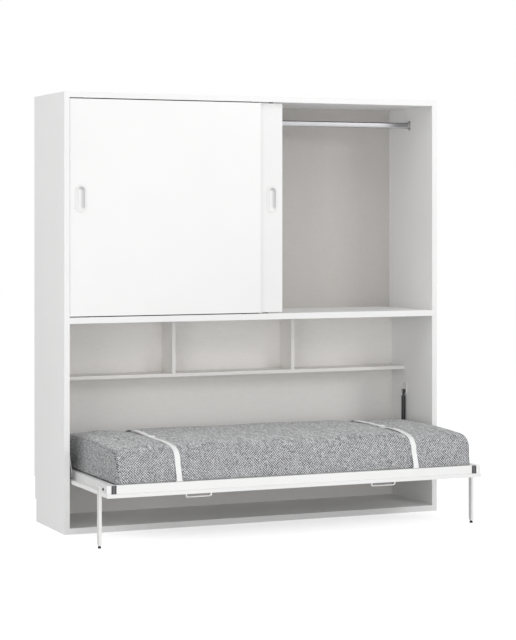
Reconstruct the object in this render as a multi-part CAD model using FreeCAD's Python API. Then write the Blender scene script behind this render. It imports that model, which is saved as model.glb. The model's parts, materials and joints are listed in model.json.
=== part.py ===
"""Horizontal wall bed under a wardrobe with two sliding doors.

Millimetres. X runs along the wall, +Y runs into the cabinet towards the wall and +Z is up.
The origin is the centre of the cabinet's footprint on the floor.
The model is at rest with the bed folded down on its legs and the right half of the wardrobe open.
"""
import FreeCAD
import Part
import math
import os

Vector = FreeCAD.Vector
X_AXIS = Vector(1, 0, 0)
Y_AXIS = Vector(0, 1, 0)
Z_AXIS = Vector(0, 0, 1)

# Cabinet
cabinet_width = 2060.0
cabinet_height = 2170.0
cabinet_depth = 505.0
side_board = 28.0
shelf_board = 30.0
back_board = 5.0
bay_height = 1002.0
skirting_depth = 33.0
skirting_height = 115.0
skirting_cap_depth = 13.0
skirting_cap_height = 230.0
niche_board = 18.0
niche_shelf_drop = 286.0
niche_depth = 149.0
niche_count = 3

# Wardrobe
divider_board = 18.0
divider_door_gap = 18.0
hanging_rail_width = 15.0
hanging_rail_height = 30.0
hanging_rail_wall = 1.2
hanging_rail_drop = 94.0
hanging_rail_inset = 258.0
rail_cup_wall = 2.5
rail_cup_depth = 11.0
rail_cup_rise = 7.0
rail_cup_gap = 0.2

# Sliding doors
door_board = 18.0
door_width = 1017.0
door_inset = 3.0
door_spacing = 4.0
door_lift = 5.0
door_side_gap = 2.0
rear_door_reveal = 129.6
track_channel = 9.0
bottom_track_depth = 8.0
bottom_channel_depth = 6.5
top_track_depth = 14.0
top_channel_depth = 12.0
roller_diameter = 30.0
roller_width = 6.0
roller_axle = 5.0
roller_inset = 90.0
roller_lift = 0.3
carrier_length = 46.0
carrier_thickness = 12.0
carrier_slot = 7.0
carrier_cover = 4.0
guide_length = 30.0
guide_depth = 20.0
guide_tongue_length = 24.0
guide_tongue_width = 8.0
guide_tongue_rise = 9.0
guide_inset = 60.0
stop_length = 20.0
stop_width = 8.4
bumper_diameter = 10.0
bumper_thickness = 1.7
bumper_end_gap = 160.0
fitting_gap = 0.1

# Finger pulls in the doors
pull_width = 62.0
pull_height = 140.0
pull_depth = 12.0
pull_rim = 4.0
pull_floor = 1.5
pull_draft = 5.0
pull_edge_inset = 57.0
pull_height_above_floor = 1645.0

# Bed and its front panel, folded down
bed_face_height = 246.0
bed_reach = 542.0
bed_rear_gap = 42.0
bed_side_gap = 10.5
closing_gap = 4.0
panel_board = 18.0
panel_edge_round = 1.5
rail_height = 40.0
side_rail_width = 25.0
cross_rail_width = 30.0
rail_wall = 2.0
frame_front_inset = 11.0
frame_rear_inset = 5.0
side_rail_inset = 22.5
plug_flange = 3.0
plug_length = 24.0
plug_fit = 0.15
plug_round = 7.0
cross_bar_width = 25.0
cross_bar_height = 25.0
cross_bar_spread = 536.0
cross_bar_screw_pitch = 300.0

# Slats
slat_count = 14
slat_width = 60.0
slat_thickness = 8.0
slat_end_inset = 73.0
holder_wall = 4.0
holder_depth = 24.0
holder_floor = 5.0
holder_end = 3.0
slat_side_play = 0.2

# Mattress and its straps
mattress_thickness = 176.0
mattress_end_inset = 19.0
mattress_front_inset = 32.0
mattress_lift = 0.3
mattress_crown = 12.0
mattress_lean = 14.0
mattress_side_height = 92.0
mattress_corner_depth = 96.0
mattress_knee_depth = 31.0
mattress_knee_share = 0.71
mattress_rounded_end = 60.0
mattress_corner_radius = 25.0
mattress_end_shares = ((1.0, 1.0), (0.5, 0.975), (0.2, 0.925), (0.045, 0.85), (0.0, 0.76))
strap_width = 27.0
strap_thickness = 1.5
strap_gap = 0.4
strap_end_inset = 340.0
strap_hem_play = 0.1
loop_width = 38.0
loop_height = 11.0
loop_wire = 3.5
loop_inset = 3.5
buckle_length = 42.0
buckle_width = 33.0
buckle_thickness = 2.5
buckle_slot_length = 9.0
buckle_bar_length = 12.0
buckle_inset = 404.0

# Handles under the front panel
handle_bar_offset = 226.0
handle_pitch = 128.0
handle_bar = 8.0
handle_projection = 33.0
handle_bend = 8.0
handle_inset = 109.0
handle_screw_depth = 9.0

# Pivots
pivot_pin = 12.0
pivot_boss = 20.0
pivot_head = 18.0
pivot_head_length = 5.0
pivot_play = 0.05
side_play = 0.3
arm_thickness = 5.0
arm_eye = 44.0
arm_base = 120.0
arm_base_height = 28.0
plate_thickness = 4.0
plate_width = 70.0
plate_rise = 25.0
plate_drop = 90.0
plate_corner = 8.0

# Legs
leg_depth = 30.0
leg_thickness = 13.0
leg_wall = 1.5
leg_wall_gap = 1.0
leg_reach = 432.0
leg_pivot_height = 278.0
leg_taper = 6.0
leg_taper_height = 12.0
leg_bolt = 8.0
leg_bolt_head = 15.0
leg_bolt_head_length = 3.5
leg_spacer = 18.0
leg_recess_play = 0.8
leg_recess_margin = 7.0
leg_plate = 4.0
leg_block_gap = 1.0
leg_block_wall = 3.0
foot_height = 12.0
foot_diameter = 18.0
foot_pad_height = 5.0
foot_stem = 8.0

# Gas springs
spring_diameter = 22.0
spring_wall = 1.5
spring_length = 213.0
spring_neck = 12.0
spring_neck_length = 26.0
spring_eye = 20.0
spring_eye_width = 12.0
spring_rod = 10.0
spring_rod_play = 0.1
spring_piston_play = 0.3
spring_piston_length = 8.0
spring_piston_margin = 2.0
spring_gland = 8.0
spring_stud = 10.0
spring_stud_gap = 0.4
spring_wall_gap = 1.0
spring_inset = 308.0
spring_top_height = 611.6
spring_foot_height = 284.0
spring_plate_width = 40.0
spring_plate_rise = 48.0
spring_plate_drop = 14.0
spring_screw_spread = 20.0
spring_screw_drop = 13.0
spring_foot_plate = 3.0
spring_foot_plate_height = 34.0

# Fasteners and fixings
screw_diameter = 4.0
screw_head = 9.0
screw_head_height = 2.5
screw_length = 22.0
plate_screw_spread_y = 46.0
plate_screw_spread_z = 60.0
panel_screw_depth = 12.0
dowel_diameter = 8.0
dowel_length = 36.0
dowel_in_side = 14.0
dowel_shares = (0.14, 0.5, 0.86)
wall_bracket_width = 60.0
wall_bracket_depth = 45.0
wall_bracket_height = 28.0
wall_bracket_thickness = 2.5
wall_bracket_end_inset = 230.0
wall_hole = 8.0
wall_hole_rise = 16.0
wall_bracket_screw_pitch = 36.0
wall_bracket_screw_inset = 30.0
cut_overrun = 5.0

# Planes of the cabinet
front_y = -cabinet_depth / 2
rear_y = cabinet_depth / 2
outer_x = cabinet_width / 2
inner_x = outer_x - side_board
bay_floor_z = shelf_board
bay_top_z = bay_floor_z + bay_height
wardrobe_floor_z = bay_top_z + shelf_board
wardrobe_top_z = cabinet_height - side_board
wardrobe_back_y = rear_y - back_board
bay_rear_y = rear_y - skirting_depth
bay_back_y = bay_rear_y - back_board
niche_shelf_top_z = bay_top_z - niche_shelf_drop
niche_front_y = bay_back_y - niche_depth
wall_bracket_x = outer_x - wall_bracket_end_inset
niche_width = (2 * inner_x - (niche_count - 1) * niche_board) / niche_count

# Planes of the doors
front_door_y = front_y + door_inset
rear_door_y = front_door_y + door_board + door_spacing
track_front_y = front_door_y
track_rear_y = rear_door_y + door_board
door_bottom_z = wardrobe_floor_z + door_lift
door_top_z = wardrobe_top_z - door_lift
front_door_x = -inner_x + door_side_gap
rear_door_x = front_door_x + rear_door_reveal
roller_axis_z = (wardrobe_floor_z - bottom_channel_depth + roller_lift
                 + roller_diameter / 2)

# Places on the bed, folded down
bed_front_y = front_y - bed_reach
pivot_inset = (bay_top_z - closing_gap - bed_face_height - bed_reach) / 2
pivot_y = front_y + pivot_inset
pivot_z = bed_face_height + pivot_inset
bed_rear_y = bay_back_y - bed_rear_gap
panel_x = inner_x - bed_side_gap
panel_top_z = bed_face_height + panel_board
rail_top_z = panel_top_z + rail_height
frame_front_y = bed_front_y + frame_front_inset
frame_rear_y = bed_rear_y - frame_rear_inset
side_rail_outer_x = panel_x - side_rail_inset
side_rail_inner_x = side_rail_outer_x - side_rail_width
front_rail_rear_y = frame_front_y + cross_rail_width
rear_rail_front_y = frame_rear_y - cross_rail_width
slat_top_z = rail_top_z
mattress_bottom_z = slat_top_z + mattress_lift
mattress_front_y = bed_front_y + mattress_front_inset
mattress_length = 2 * (side_rail_outer_x - mattress_end_inset)
mattress_width = rear_rail_front_y - mattress_front_y
mattress_y = mattress_front_y + mattress_width / 2
strap_x = side_rail_outer_x - strap_end_inset
leg_outer_x = inner_x - leg_wall_gap
leg_inner_x = leg_outer_x - leg_thickness
leg_y = front_y - leg_reach
spring_x = inner_x - spring_wall_gap - spring_diameter / 2
spring_y = front_y + spring_inset
handle_y = bed_front_y + handle_inset

SIDES = (-1, 1)


def box(x0, x1, y0, y1, z0, z1):
    """Block between two values on each axis, given in either order."""
    corner = Vector(min(x0, x1), min(y0, y1), min(z0, z1))
    return Part.makeBox(abs(x1 - x0), abs(y1 - y0), abs(z1 - z0), corner)


def rod_x(x0, x1, y, z, diameter):
    """Round bar along X between two values of x."""
    return Part.makeCylinder(diameter / 2, abs(x1 - x0), Vector(min(x0, x1), y, z), X_AXIS)


def rod_y(y0, y1, x, z, diameter):
    """Round bar along Y between two values of y."""
    return Part.makeCylinder(diameter / 2, abs(y1 - y0), Vector(x, min(y0, y1), z), Y_AXIS)


def rod_z(z0, z1, x, y, diameter):
    """Round bar along Z between two values of z."""
    return Part.makeCylinder(diameter / 2, abs(z1 - z0), Vector(x, y, min(z0, z1)), Z_AXIS)


def cut_all(shape, tools):
    """Shape less every tool of the list."""
    for tool in tools:
        shape = shape.cut(tool)
    return shape


def fuse_all(shapes):
    """One solid from shapes that meet."""
    result = shapes[0]
    for shape in shapes[1:]:
        result = result.fuse(shape)
    return result.removeSplitter()


def mirror_x(shape):
    """Copy of a shape on the other side of the cabinet's middle plane."""
    return shape.mirror(Vector(0, 0, 0), X_AXIS)


def both_sides(shape):
    """A right-hand shape with its left-hand copy."""
    return Part.makeCompound([mirror_x(shape), shape])


def prism_x(points, x0, x1):
    """Polygon of (y, z) points drawn out between two values of x."""
    low = min(x0, x1)
    corners = [Vector(low, y, z) for y, z in points]
    face = Part.Face(Part.makePolygon(corners + corners[:1]))
    return face.extrude(X_AXIS * abs(x1 - x0))


def screw_z(x, y, head_z, length, sign):
    """Screw along Z: its head stands off the face at head_z, its shank points along sign."""
    head = rod_z(head_z, head_z - sign * screw_head_height, x, y, screw_head)
    shank = rod_z(head_z, head_z + sign * length, x, y, screw_diameter)
    return head.fuse(shank)


def dowel_rows():
    """Places of the dowels along the cabinet's depth."""
    return [front_y + share * (bay_rear_y - front_y) for share in dowel_shares]


def side_dowels(board_z):
    """Dowels between the right side panel and a board centred on board_z."""
    start = inner_x + dowel_in_side
    return [rod_x(start, start - dowel_length, y, board_z, dowel_diameter) for y in dowel_rows()]


def top_dowels():
    """Upright dowels between the right side panel and the top panel."""
    start = wardrobe_top_z + dowel_in_side
    x = inner_x + side_board / 2
    return [rod_z(start, start - dowel_length, x, y, dowel_diameter) for y in dowel_rows()]


def right_dowels():
    """All the dowels of the cabinet's right end."""
    lower = side_dowels(bay_floor_z / 2)
    upper = side_dowels(bay_top_z + shelf_board / 2)
    return lower + upper + top_dowels()


def carcass_dowels():
    """Wooden dowels that hold the boards to each other at both ends."""
    dowels = right_dowels()
    return Part.makeCompound(dowels + [mirror_x(dowel) for dowel in dowels])


def drilled(shape):
    """Board with the holes of every dowel that enters it."""
    return shape.cut(carcass_dowels())


def plate_screw_places():
    """Places of the four screws in a pivot plate, as (y, z)."""
    mid_z = pivot_z - (plate_drop - plate_rise) / 2 - plate_corner
    half_y = plate_screw_spread_y / 2
    half_z = plate_screw_spread_z / 2
    return [(pivot_y + sy * half_y, mid_z + sz * half_z) for sy in SIDES for sz in SIDES]


def spring_screw_places():
    """Places of the two screws in the bracket at the top of a gas spring, as (y, z)."""
    mid_z = spring_top_height + spring_plate_rise - spring_screw_drop
    return [(spring_y + side * spring_screw_spread / 2, mid_z) for side in SIDES]


def side_screw(y, z):
    """Screw along X into the right side panel, its head sunk in a steel plate."""
    face = inner_x - plate_thickness
    head = rod_x(face, face + screw_head_height, y, z, screw_head)
    shank = rod_x(face, face + screw_length, y, z, screw_diameter)
    return head.fuse(shank)


def plate_screws():
    """Screws of the pivot plate and of the spring bracket on the right side panel."""
    return [side_screw(y, z) for y, z in plate_screw_places() + spring_screw_places()]


def side_panel():
    """Right side board with its cut-outs for a skirting and for the dowels and screws."""
    board = box(inner_x, outer_x, front_y, rear_y, 0, wardrobe_top_z)
    low_cut = box(inner_x - cut_overrun, outer_x + cut_overrun, bay_rear_y,
                  rear_y + cut_overrun, -cut_overrun, skirting_height)
    cap_cut = box(inner_x - cut_overrun, outer_x + cut_overrun, rear_y - skirting_cap_depth,
                  rear_y + cut_overrun, -cut_overrun, skirting_cap_height)
    return cut_all(drilled(board), [low_cut, cap_cut] + plate_screws())


def top_panel():
    """Top board with the groove for the doors' upper track."""
    board = box(-outer_x, outer_x, front_y, rear_y, wardrobe_top_z, cabinet_height)
    groove = box(-inner_x, inner_x, track_front_y, track_rear_y,
                 wardrobe_top_z - cut_overrun, wardrobe_top_z + top_track_depth)
    return cut_all(drilled(board), [groove] + wall_bracket_screw_list())


def middle_shelf():
    """Board between the bed bay and the wardrobe, with the groove for the lower track."""
    board = box(-inner_x, inner_x, front_y, wardrobe_back_y, bay_top_z, wardrobe_floor_z)
    groove = box(-inner_x, inner_x, track_front_y, track_rear_y,
                 wardrobe_floor_z - bottom_track_depth, wardrobe_floor_z + cut_overrun)
    return drilled(board).cut(groove)


def bottom_panel():
    """Floor board of the bed bay, which stops short of the skirting."""
    return drilled(box(-inner_x, inner_x, front_y, bay_rear_y, 0, bay_floor_z))


def upper_back_panel():
    """Back of the wardrobe."""
    return box(-inner_x, inner_x, wardrobe_back_y, rear_y, bay_top_z, wardrobe_top_z)


def lower_back_panel():
    """Back of the bed bay, set forward so that a skirting passes behind it."""
    return box(-inner_x, inner_x, bay_back_y, bay_rear_y, bay_floor_z, bay_top_z)


def niche_shelf():
    """Narrow shelf across the back of the bed bay."""
    return box(-inner_x, inner_x, niche_front_y, bay_back_y,
               niche_shelf_top_z - niche_board, niche_shelf_top_z)


def niche_divider(index):
    """Upright board between two of the niches."""
    x = -inner_x + index * niche_width + (index - 1) * niche_board
    return box(x, x + niche_board, niche_front_y, bay_back_y, niche_shelf_top_z, bay_top_z)


def wardrobe_divider():
    """Upright board that halves the wardrobe behind the doors."""
    half = divider_board / 2
    front = rear_door_y + door_board + divider_door_gap
    return box(-half, half, front, wardrobe_back_y, wardrobe_floor_z, wardrobe_top_z)


def oval(length, width, height, wall):
    """Bar along X with flat sides and round top and bottom, centred on its axis."""
    half = width / 2 - wall
    straight = height / 2 - width / 2
    web = box(0, length, -half, half, -straight, straight)
    top = rod_x(0, length, 0, straight, 2 * half)
    bottom = rod_x(0, length, 0, -straight, 2 * half)
    return fuse_all([web, top, bottom])


def hanging_rail():
    """Oval clothes rail in the right half of the wardrobe."""
    length = inner_x - divider_board / 2 - 2 * (rail_cup_wall + rail_cup_gap)
    outer = oval(length, hanging_rail_width, hanging_rail_height, 0)
    inner = oval(length, hanging_rail_width, hanging_rail_height, hanging_rail_wall)
    tube = outer.cut(inner)
    tube.translate(hanging_rail_start())
    return tube


def hanging_rail_start():
    """Middle of the rail's left end."""
    x = divider_board / 2 + rail_cup_wall + rail_cup_gap
    return Vector(x, front_y + hanging_rail_inset, wardrobe_top_z - hanging_rail_drop)


def rail_support():
    """Cup on the right side panel that holds the end of the clothes rail."""
    axis = hanging_rail_start()
    grown_width = hanging_rail_width + 2 * (rail_cup_wall + rail_cup_gap)
    grown_height = hanging_rail_height + 2 * (rail_cup_wall + rail_cup_gap)
    low_x = inner_x - rail_cup_depth - rail_cup_wall
    body = oval(inner_x - low_x, grown_width, grown_height, 0)
    body.translate(Vector(low_x, axis.y, axis.z))
    ears = box(inner_x - rail_cup_wall, inner_x, axis.y - grown_width / 2,
               axis.y + grown_width / 2, axis.z - grown_height / 2 - rail_cup_rise,
               axis.z + grown_height / 2 + rail_cup_rise)
    seat_width = hanging_rail_width + 2 * rail_cup_gap
    seat_height = hanging_rail_height + 2 * rail_cup_gap
    seat = oval(inner_x - rail_cup_wall - low_x + cut_overrun, seat_width, seat_height, 0)
    seat.translate(Vector(low_x - cut_overrun, axis.y, axis.z))
    return fuse_all([body, ears]).cut(seat)


def rail_supports():
    """The two cups of the clothes rail, on the side panel and on the divider."""
    right = rail_support()
    middle = (inner_x + divider_board / 2) / 2
    left = right.mirror(Vector(middle, 0, 0), X_AXIS)
    return Part.makeCompound([left, right])


def door_planes():
    """Middle of the thickness of the front door and of the rear door."""
    return (front_door_y + door_board / 2, rear_door_y + door_board / 2)


def channels(z0, z1):
    """The two channels that the doors run in."""
    half = track_channel / 2
    return [box(-inner_x - cut_overrun, inner_x + cut_overrun, y - half, y + half, z0, z1)
            for y in door_planes()]


def top_guide_track():
    """Double channel sunk into the top board."""
    bar = box(-inner_x, inner_x, track_front_y, track_rear_y,
              wardrobe_top_z, wardrobe_top_z + top_track_depth)
    return cut_all(bar, channels(wardrobe_top_z - cut_overrun,
                                 wardrobe_top_z + top_channel_depth))


def bottom_guide_track():
    """Double channel sunk into the middle shelf."""
    bar = box(-inner_x, inner_x, track_front_y, track_rear_y,
              wardrobe_floor_z - bottom_track_depth, wardrobe_floor_z)
    return cut_all(bar, channels(wardrobe_floor_z - bottom_channel_depth,
                                 wardrobe_floor_z + cut_overrun))


def obround(width, height, x, y, z):
    """Closed wire in a plane of constant y: an upright slot outline with round ends."""
    radius = width / 2
    reach = height / 2 - radius
    diagonal = radius * math.sqrt(0.5)

    def point(dx, dz):
        return Vector(x + dx, y, z + dz)

    edges = [Part.LineSegment(point(radius, -reach), point(radius, reach)),
             Part.Arc(point(radius, reach), point(diagonal, reach + diagonal),
                      point(0, reach + radius)),
             Part.Arc(point(0, reach + radius), point(-diagonal, reach + diagonal),
                      point(-radius, reach)),
             Part.LineSegment(point(-radius, reach), point(-radius, -reach)),
             Part.Arc(point(-radius, -reach), point(-diagonal, -reach - diagonal),
                      point(0, -reach - radius)),
             Part.Arc(point(0, -reach - radius), point(diagonal, -reach - diagonal),
                      point(radius, -reach))]
    return Part.Wire([edge.toShape() for edge in edges])


def pull_pocket(x, face_y, grown):
    """Recess in a door's face that holds its finger pull."""
    wire = obround(pull_width + 2 * grown, pull_height + 2 * grown, x, face_y - grown,
                   pull_height_above_floor)
    return Part.Face(wire).extrude(Y_AXIS * (pull_depth + 2 * grown))


def door_pull(x, face_y):
    """Cup-shaped finger pull with sloping walls."""
    body = pull_pocket(x, face_y, 0)
    mouth = obround(pull_width - 2 * pull_rim, pull_height - 2 * pull_rim, x, face_y,
                    pull_height_above_floor)
    floor_shrink = 2 * (pull_rim + pull_draft)
    floor = obround(pull_width - floor_shrink, pull_height - floor_shrink, x,
                    face_y + pull_depth - pull_floor, pull_height_above_floor)
    return body.cut(Part.makeLoft([mouth, floor], True, False))


def door_fitting_places(left_x, inset):
    """Middle of the fitting near each end of a door whose left edge is at left_x."""
    return (left_x + inset, left_x + door_width - inset)


def door(left_x, face_y, pull_x):
    """Door board with pockets for its rollers, its guides and its finger pull."""
    board = box(left_x, left_x + door_width, face_y, face_y + door_board,
                door_bottom_z, door_top_z)
    mid_y = face_y + door_board / 2
    half_y = carrier_thickness / 2
    pockets = [pull_pocket(pull_x, face_y, fitting_gap)]
    for x in door_fitting_places(left_x, roller_inset):
        pockets.append(box(x - carrier_length / 2, x + carrier_length / 2, mid_y - half_y,
                           mid_y + half_y, door_bottom_z - cut_overrun, carrier_top_z()))
    for x in door_fitting_places(left_x, guide_inset):
        pockets.append(box(x - guide_length / 2, x + guide_length / 2, mid_y - half_y,
                           mid_y + half_y, door_top_z - guide_depth, door_top_z + cut_overrun))
    return cut_all(board, pockets)


def carrier_top_z():
    """Height of the top of a roller's housing."""
    return roller_axis_z + roller_diameter / 2 + carrier_cover


def roller_carrier(x, mid_y):
    """Housing in the door's lower edge with the roller's fixed axle."""
    half_x = carrier_length / 2 - fitting_gap
    half_y = carrier_thickness / 2 - fitting_gap
    body = box(x - half_x, x + half_x, mid_y - half_y, mid_y + half_y,
               door_bottom_z, carrier_top_z() - fitting_gap)
    slot_x = roller_diameter / 2 + roller_lift + fitting_gap
    slot = box(x - slot_x, x + slot_x, mid_y - carrier_slot / 2, mid_y + carrier_slot / 2,
               door_bottom_z - cut_overrun, roller_axis_z + slot_x)
    axle = rod_y(mid_y - half_y, mid_y + half_y, x, roller_axis_z, roller_axle)
    return fuse_all([body.cut(slot), axle])


def roller_carriers(left_x, mid_y):
    """The two roller housings of a door."""
    places = door_fitting_places(left_x, roller_inset)
    return Part.makeCompound([roller_carrier(x, mid_y) for x in places])


def roller(x, mid_y):
    """Grooveless wheel that carries one end of a door."""
    half = roller_width / 2
    wheel = rod_y(mid_y - half, mid_y + half, x, roller_axis_z, roller_diameter)
    bore = rod_y(mid_y - half - cut_overrun, mid_y + half + cut_overrun, x, roller_axis_z,
                 roller_axle + 2 * pivot_play)
    return wheel.cut(bore)


def door_guide(x, mid_y):
    """Block in the door's upper edge whose tongue runs in the top track."""
    half_x = guide_length / 2 - fitting_gap
    half_y = carrier_thickness / 2 - fitting_gap
    block = box(x - half_x, x + half_x, mid_y - half_y, mid_y + half_y,
                door_top_z - guide_depth + fitting_gap, door_top_z)
    tongue_x = guide_tongue_length / 2
    tongue_y = guide_tongue_width / 2
    tongue = box(x - tongue_x, x + tongue_x, mid_y - tongue_y, mid_y + tongue_y,
                 door_top_z - guide_depth / 2, wardrobe_top_z + guide_tongue_rise)
    return fuse_all([block, tongue])


def door_guides(left_x, mid_y):
    """The two upper guides of a door."""
    places = door_fitting_places(left_x, guide_inset)
    return Part.makeCompound([door_guide(x, mid_y) for x in places])


def rear_door_stop():
    """Block in the top track that keeps the rear door's pull in reach."""
    mid_y = door_planes()[1]
    guide_x = door_fitting_places(rear_door_x, guide_inset)[0]
    high_x = guide_x - guide_tongue_length / 2 - side_play
    return box(high_x - stop_length, high_x, mid_y - stop_width / 2, mid_y + stop_width / 2,
               wardrobe_top_z, wardrobe_top_z + top_channel_depth)


def door_bumpers():
    """Felt discs on the side panels where the doors come to rest."""
    front, rear = door_planes()
    discs = []
    for z in (door_bottom_z + bumper_end_gap, door_top_z - bumper_end_gap):
        discs.append(rod_x(-inner_x, -inner_x + bumper_thickness, front, z, bumper_diameter))
        discs.append(rod_x(inner_x, inner_x - bumper_thickness, front, z, bumper_diameter))
        discs.append(rod_x(inner_x, inner_x - bumper_thickness, rear, z, bumper_diameter))
    return discs


def wall_bracket_screw_list():
    """Screws that hold the wall brackets to the top board."""
    y = rear_y - wall_bracket_screw_inset
    head_z = cabinet_height + wall_bracket_thickness
    places = [side * wall_bracket_x + end * wall_bracket_screw_pitch / 2
              for side in SIDES for end in SIDES]
    return [screw_z(x, y, head_z, screw_length, -1) for x in places]


def wall_bracket(x):
    """Steel angle on the top board with a hole for a wall bolt."""
    half = wall_bracket_width / 2
    flat = box(x - half, x + half, rear_y - wall_bracket_depth, rear_y,
               cabinet_height, cabinet_height + wall_bracket_thickness)
    upright = box(x - half, x + half, rear_y - wall_bracket_thickness, rear_y,
                  cabinet_height, cabinet_height + wall_bracket_height)
    hole = rod_y(rear_y - wall_bracket_depth, rear_y + cut_overrun, x,
                 cabinet_height + wall_hole_rise, wall_hole)
    return cut_all(fuse_all([flat, upright]), [hole] + wall_bracket_screw_list())


def pivot_plate():
    """Steel plate on the right side panel that carries the bed's pivot pin."""
    half = plate_width / 2
    plate = box(inner_x - plate_thickness, inner_x, pivot_y - half, pivot_y + half,
                pivot_z - plate_drop, pivot_z + plate_rise)
    corners = [edge for edge in plate.Edges if edge.Length < plate_thickness + side_play]
    plate = plate.makeFillet(plate_corner, corners)
    return cut_all(plate, plate_screws())


def pivot_pin_shape():
    """Stepped pin: a boss off the plate, a shank through the bed's arm and a head."""
    arm_outer = side_rail_outer_x + arm_thickness + side_play
    arm_inner = side_rail_outer_x - side_play
    boss = rod_x(inner_x - plate_thickness, arm_outer, pivot_y, pivot_z, pivot_boss)
    shank = rod_x(arm_outer, arm_inner, pivot_y, pivot_z, pivot_pin)
    head = rod_x(arm_inner, arm_inner - pivot_head_length, pivot_y, pivot_z, pivot_head)
    return fuse_all([boss, shank, head])


def cabinet_screws():
    """Screws of the pivot plates, of the spring brackets and of the wall brackets."""
    screws = plate_screws()
    return Part.makeCompound(screws + [mirror_x(screw) for screw in screws]
                             + wall_bracket_screw_list())


def spring_top_bracket():
    """Plate on the right side panel with the stud that the gas spring hangs on."""
    half = spring_plate_width / 2
    plate = box(inner_x - plate_thickness, inner_x, spring_y - half, spring_y + half,
                spring_top_height - spring_plate_drop, spring_top_height + spring_plate_rise)
    stud = rod_x(inner_x - plate_thickness, spring_x - spring_eye_width / 2, spring_y,
                 spring_top_height, spring_stud)
    return cut_all(fuse_all([plate, stud]), plate_screws())


def leg_recess():
    """Space in the front panel's right edge that the leg swings through."""
    front = leg_y - leg_depth / 2 - leg_block_gap
    rear = leg_y + leg_pivot_height + leg_depth / 2 + leg_recess_margin
    return box(leg_inner_x - leg_recess_play, panel_x + cut_overrun, front, rear,
               bed_face_height - cut_overrun, panel_top_z + cut_overrun)


def handle_places():
    """Middle of each handle along X."""
    return [side * (cross_bar_spread / 2 + handle_bar_offset) for side in SIDES]


def handle_screw_list():
    """Screws from inside the front panel into the handles' posts."""
    places = [x + end * handle_pitch / 2 for x in handle_places() for end in SIDES]
    shank = panel_board + handle_screw_depth
    return [screw_z(x, handle_y, panel_top_z, shank, -1) for x in places]


def bed_front_panel():
    """Panel that closes the bed bay when the bed is folded up."""
    board = box(-panel_x, panel_x, bed_front_y, bed_rear_y, bed_face_height, panel_top_z)
    long_edges = [edge for edge in board.Edges
                  if edge.BoundBox.ZLength == 0 and edge.BoundBox.ZMin < panel_top_z - panel_edge_round]
    board = board.makeFillet(panel_edge_round, long_edges)
    recess = leg_recess()
    return cut_all(board, [recess, mirror_x(recess)] + handle_screw_list()
                   + panel_screw_list())


def tube(x0, x1, y0, y1, along):
    """Rectangular steel tube of the bed frame along X or Y."""
    outer = box(x0, x1, y0, y1, panel_top_z, rail_top_z)
    wall_x = -cut_overrun if along == "X" else rail_wall
    wall_y = -cut_overrun if along == "Y" else rail_wall
    inner = box(x0 + wall_x, x1 - wall_x, y0 + wall_y, y1 - wall_y,
                panel_top_z + rail_wall, rail_top_z - rail_wall)
    return outer.cut(inner)


def front_rail():
    """Long tube at the front of the bed frame."""
    return tube(-side_rail_inner_x, side_rail_inner_x, frame_front_y, front_rail_rear_y, "X")


def rear_rail():
    """Long tube at the rear of the bed frame."""
    return tube(-side_rail_inner_x, side_rail_inner_x, rear_rail_front_y, frame_rear_y, "X")


def side_rail():
    """Short tube at the right end of the bed frame."""
    return tube(side_rail_inner_x, side_rail_outer_x, frame_front_y + plug_flange,
                frame_rear_y, "Y")


def corner_plug():
    """Plastic plug in the front end of the right side rail."""
    flange = box(side_rail_inner_x, side_rail_outer_x, frame_front_y,
                 frame_front_y + plug_flange, panel_top_z, rail_top_z)
    outer_top = [edge for edge in flange.Edges
                 if edge.BoundBox.XMin > side_rail_inner_x and edge.BoundBox.ZMin > panel_top_z
                 and edge.BoundBox.YLength > plug_flange / 2]
    flange = flange.makeFillet(plug_round, outer_top)
    inset = rail_wall + plug_fit
    stem = box(side_rail_inner_x + inset, side_rail_outer_x - inset,
               frame_front_y + plug_flange, frame_front_y + plug_length,
               panel_top_z + inset, rail_top_z - inset)
    return fuse_all([flange, stem])


def cross_bar(side):
    """Tube across the bed frame under the slats, screwed to the front panel."""
    x = side * cross_bar_spread / 2
    half = cross_bar_width / 2
    outer = box(x - half, x + half, front_rail_rear_y, rear_rail_front_y,
                panel_top_z, panel_top_z + cross_bar_height)
    inner = box(x - half + rail_wall, x + half - rail_wall, front_rail_rear_y - cut_overrun,
                rear_rail_front_y + cut_overrun, panel_top_z + rail_wall,
                panel_top_z + cross_bar_height - rail_wall)
    return cut_all(outer.cut(inner), panel_screw_list())


def slat_places():
    """Middle of each slat along X."""
    first = slat_end_inset - side_rail_inner_x
    spacing = -2 * first / (slat_count - 1)
    return [first + index * spacing for index in range(slat_count)]


def slats():
    """Wooden slats from the front rail to the rear rail."""
    half = slat_width / 2
    return Part.makeCompound([box(x - half, x + half, front_rail_rear_y + holder_end,
                                  rear_rail_front_y - holder_end,
                                  slat_top_z - slat_thickness, slat_top_z)
                              for x in slat_places()])


def slat_holder(x, rail_y, sign):
    """Cradle on a rail's inner face that holds one end of a slat."""
    half = slat_width / 2 + holder_wall
    body = box(x - half, x + half, rail_y, rail_y + sign * holder_depth,
               slat_top_z - slat_thickness - holder_floor, slat_top_z)
    play = slat_width / 2 + slat_side_play
    seat = box(x - play, x + play, rail_y + sign * holder_end,
               rail_y + sign * (holder_depth + cut_overrun),
               slat_top_z - slat_thickness, slat_top_z + cut_overrun)
    return body.cut(seat)


def slat_holders():
    """All the slat cradles on both long rails."""
    front = [slat_holder(x, front_rail_rear_y, 1) for x in slat_places()]
    rear = [slat_holder(x, rear_rail_front_y, -1) for x in slat_places()]
    return Part.makeCompound(front + rear)


def corner_inset(distance):
    """How far the mattress's long sides draw in at a distance from its end."""
    rest = max(mattress_corner_radius - distance, 0)
    return mattress_corner_radius - math.sqrt(mattress_corner_radius ** 2 - rest ** 2)


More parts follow.
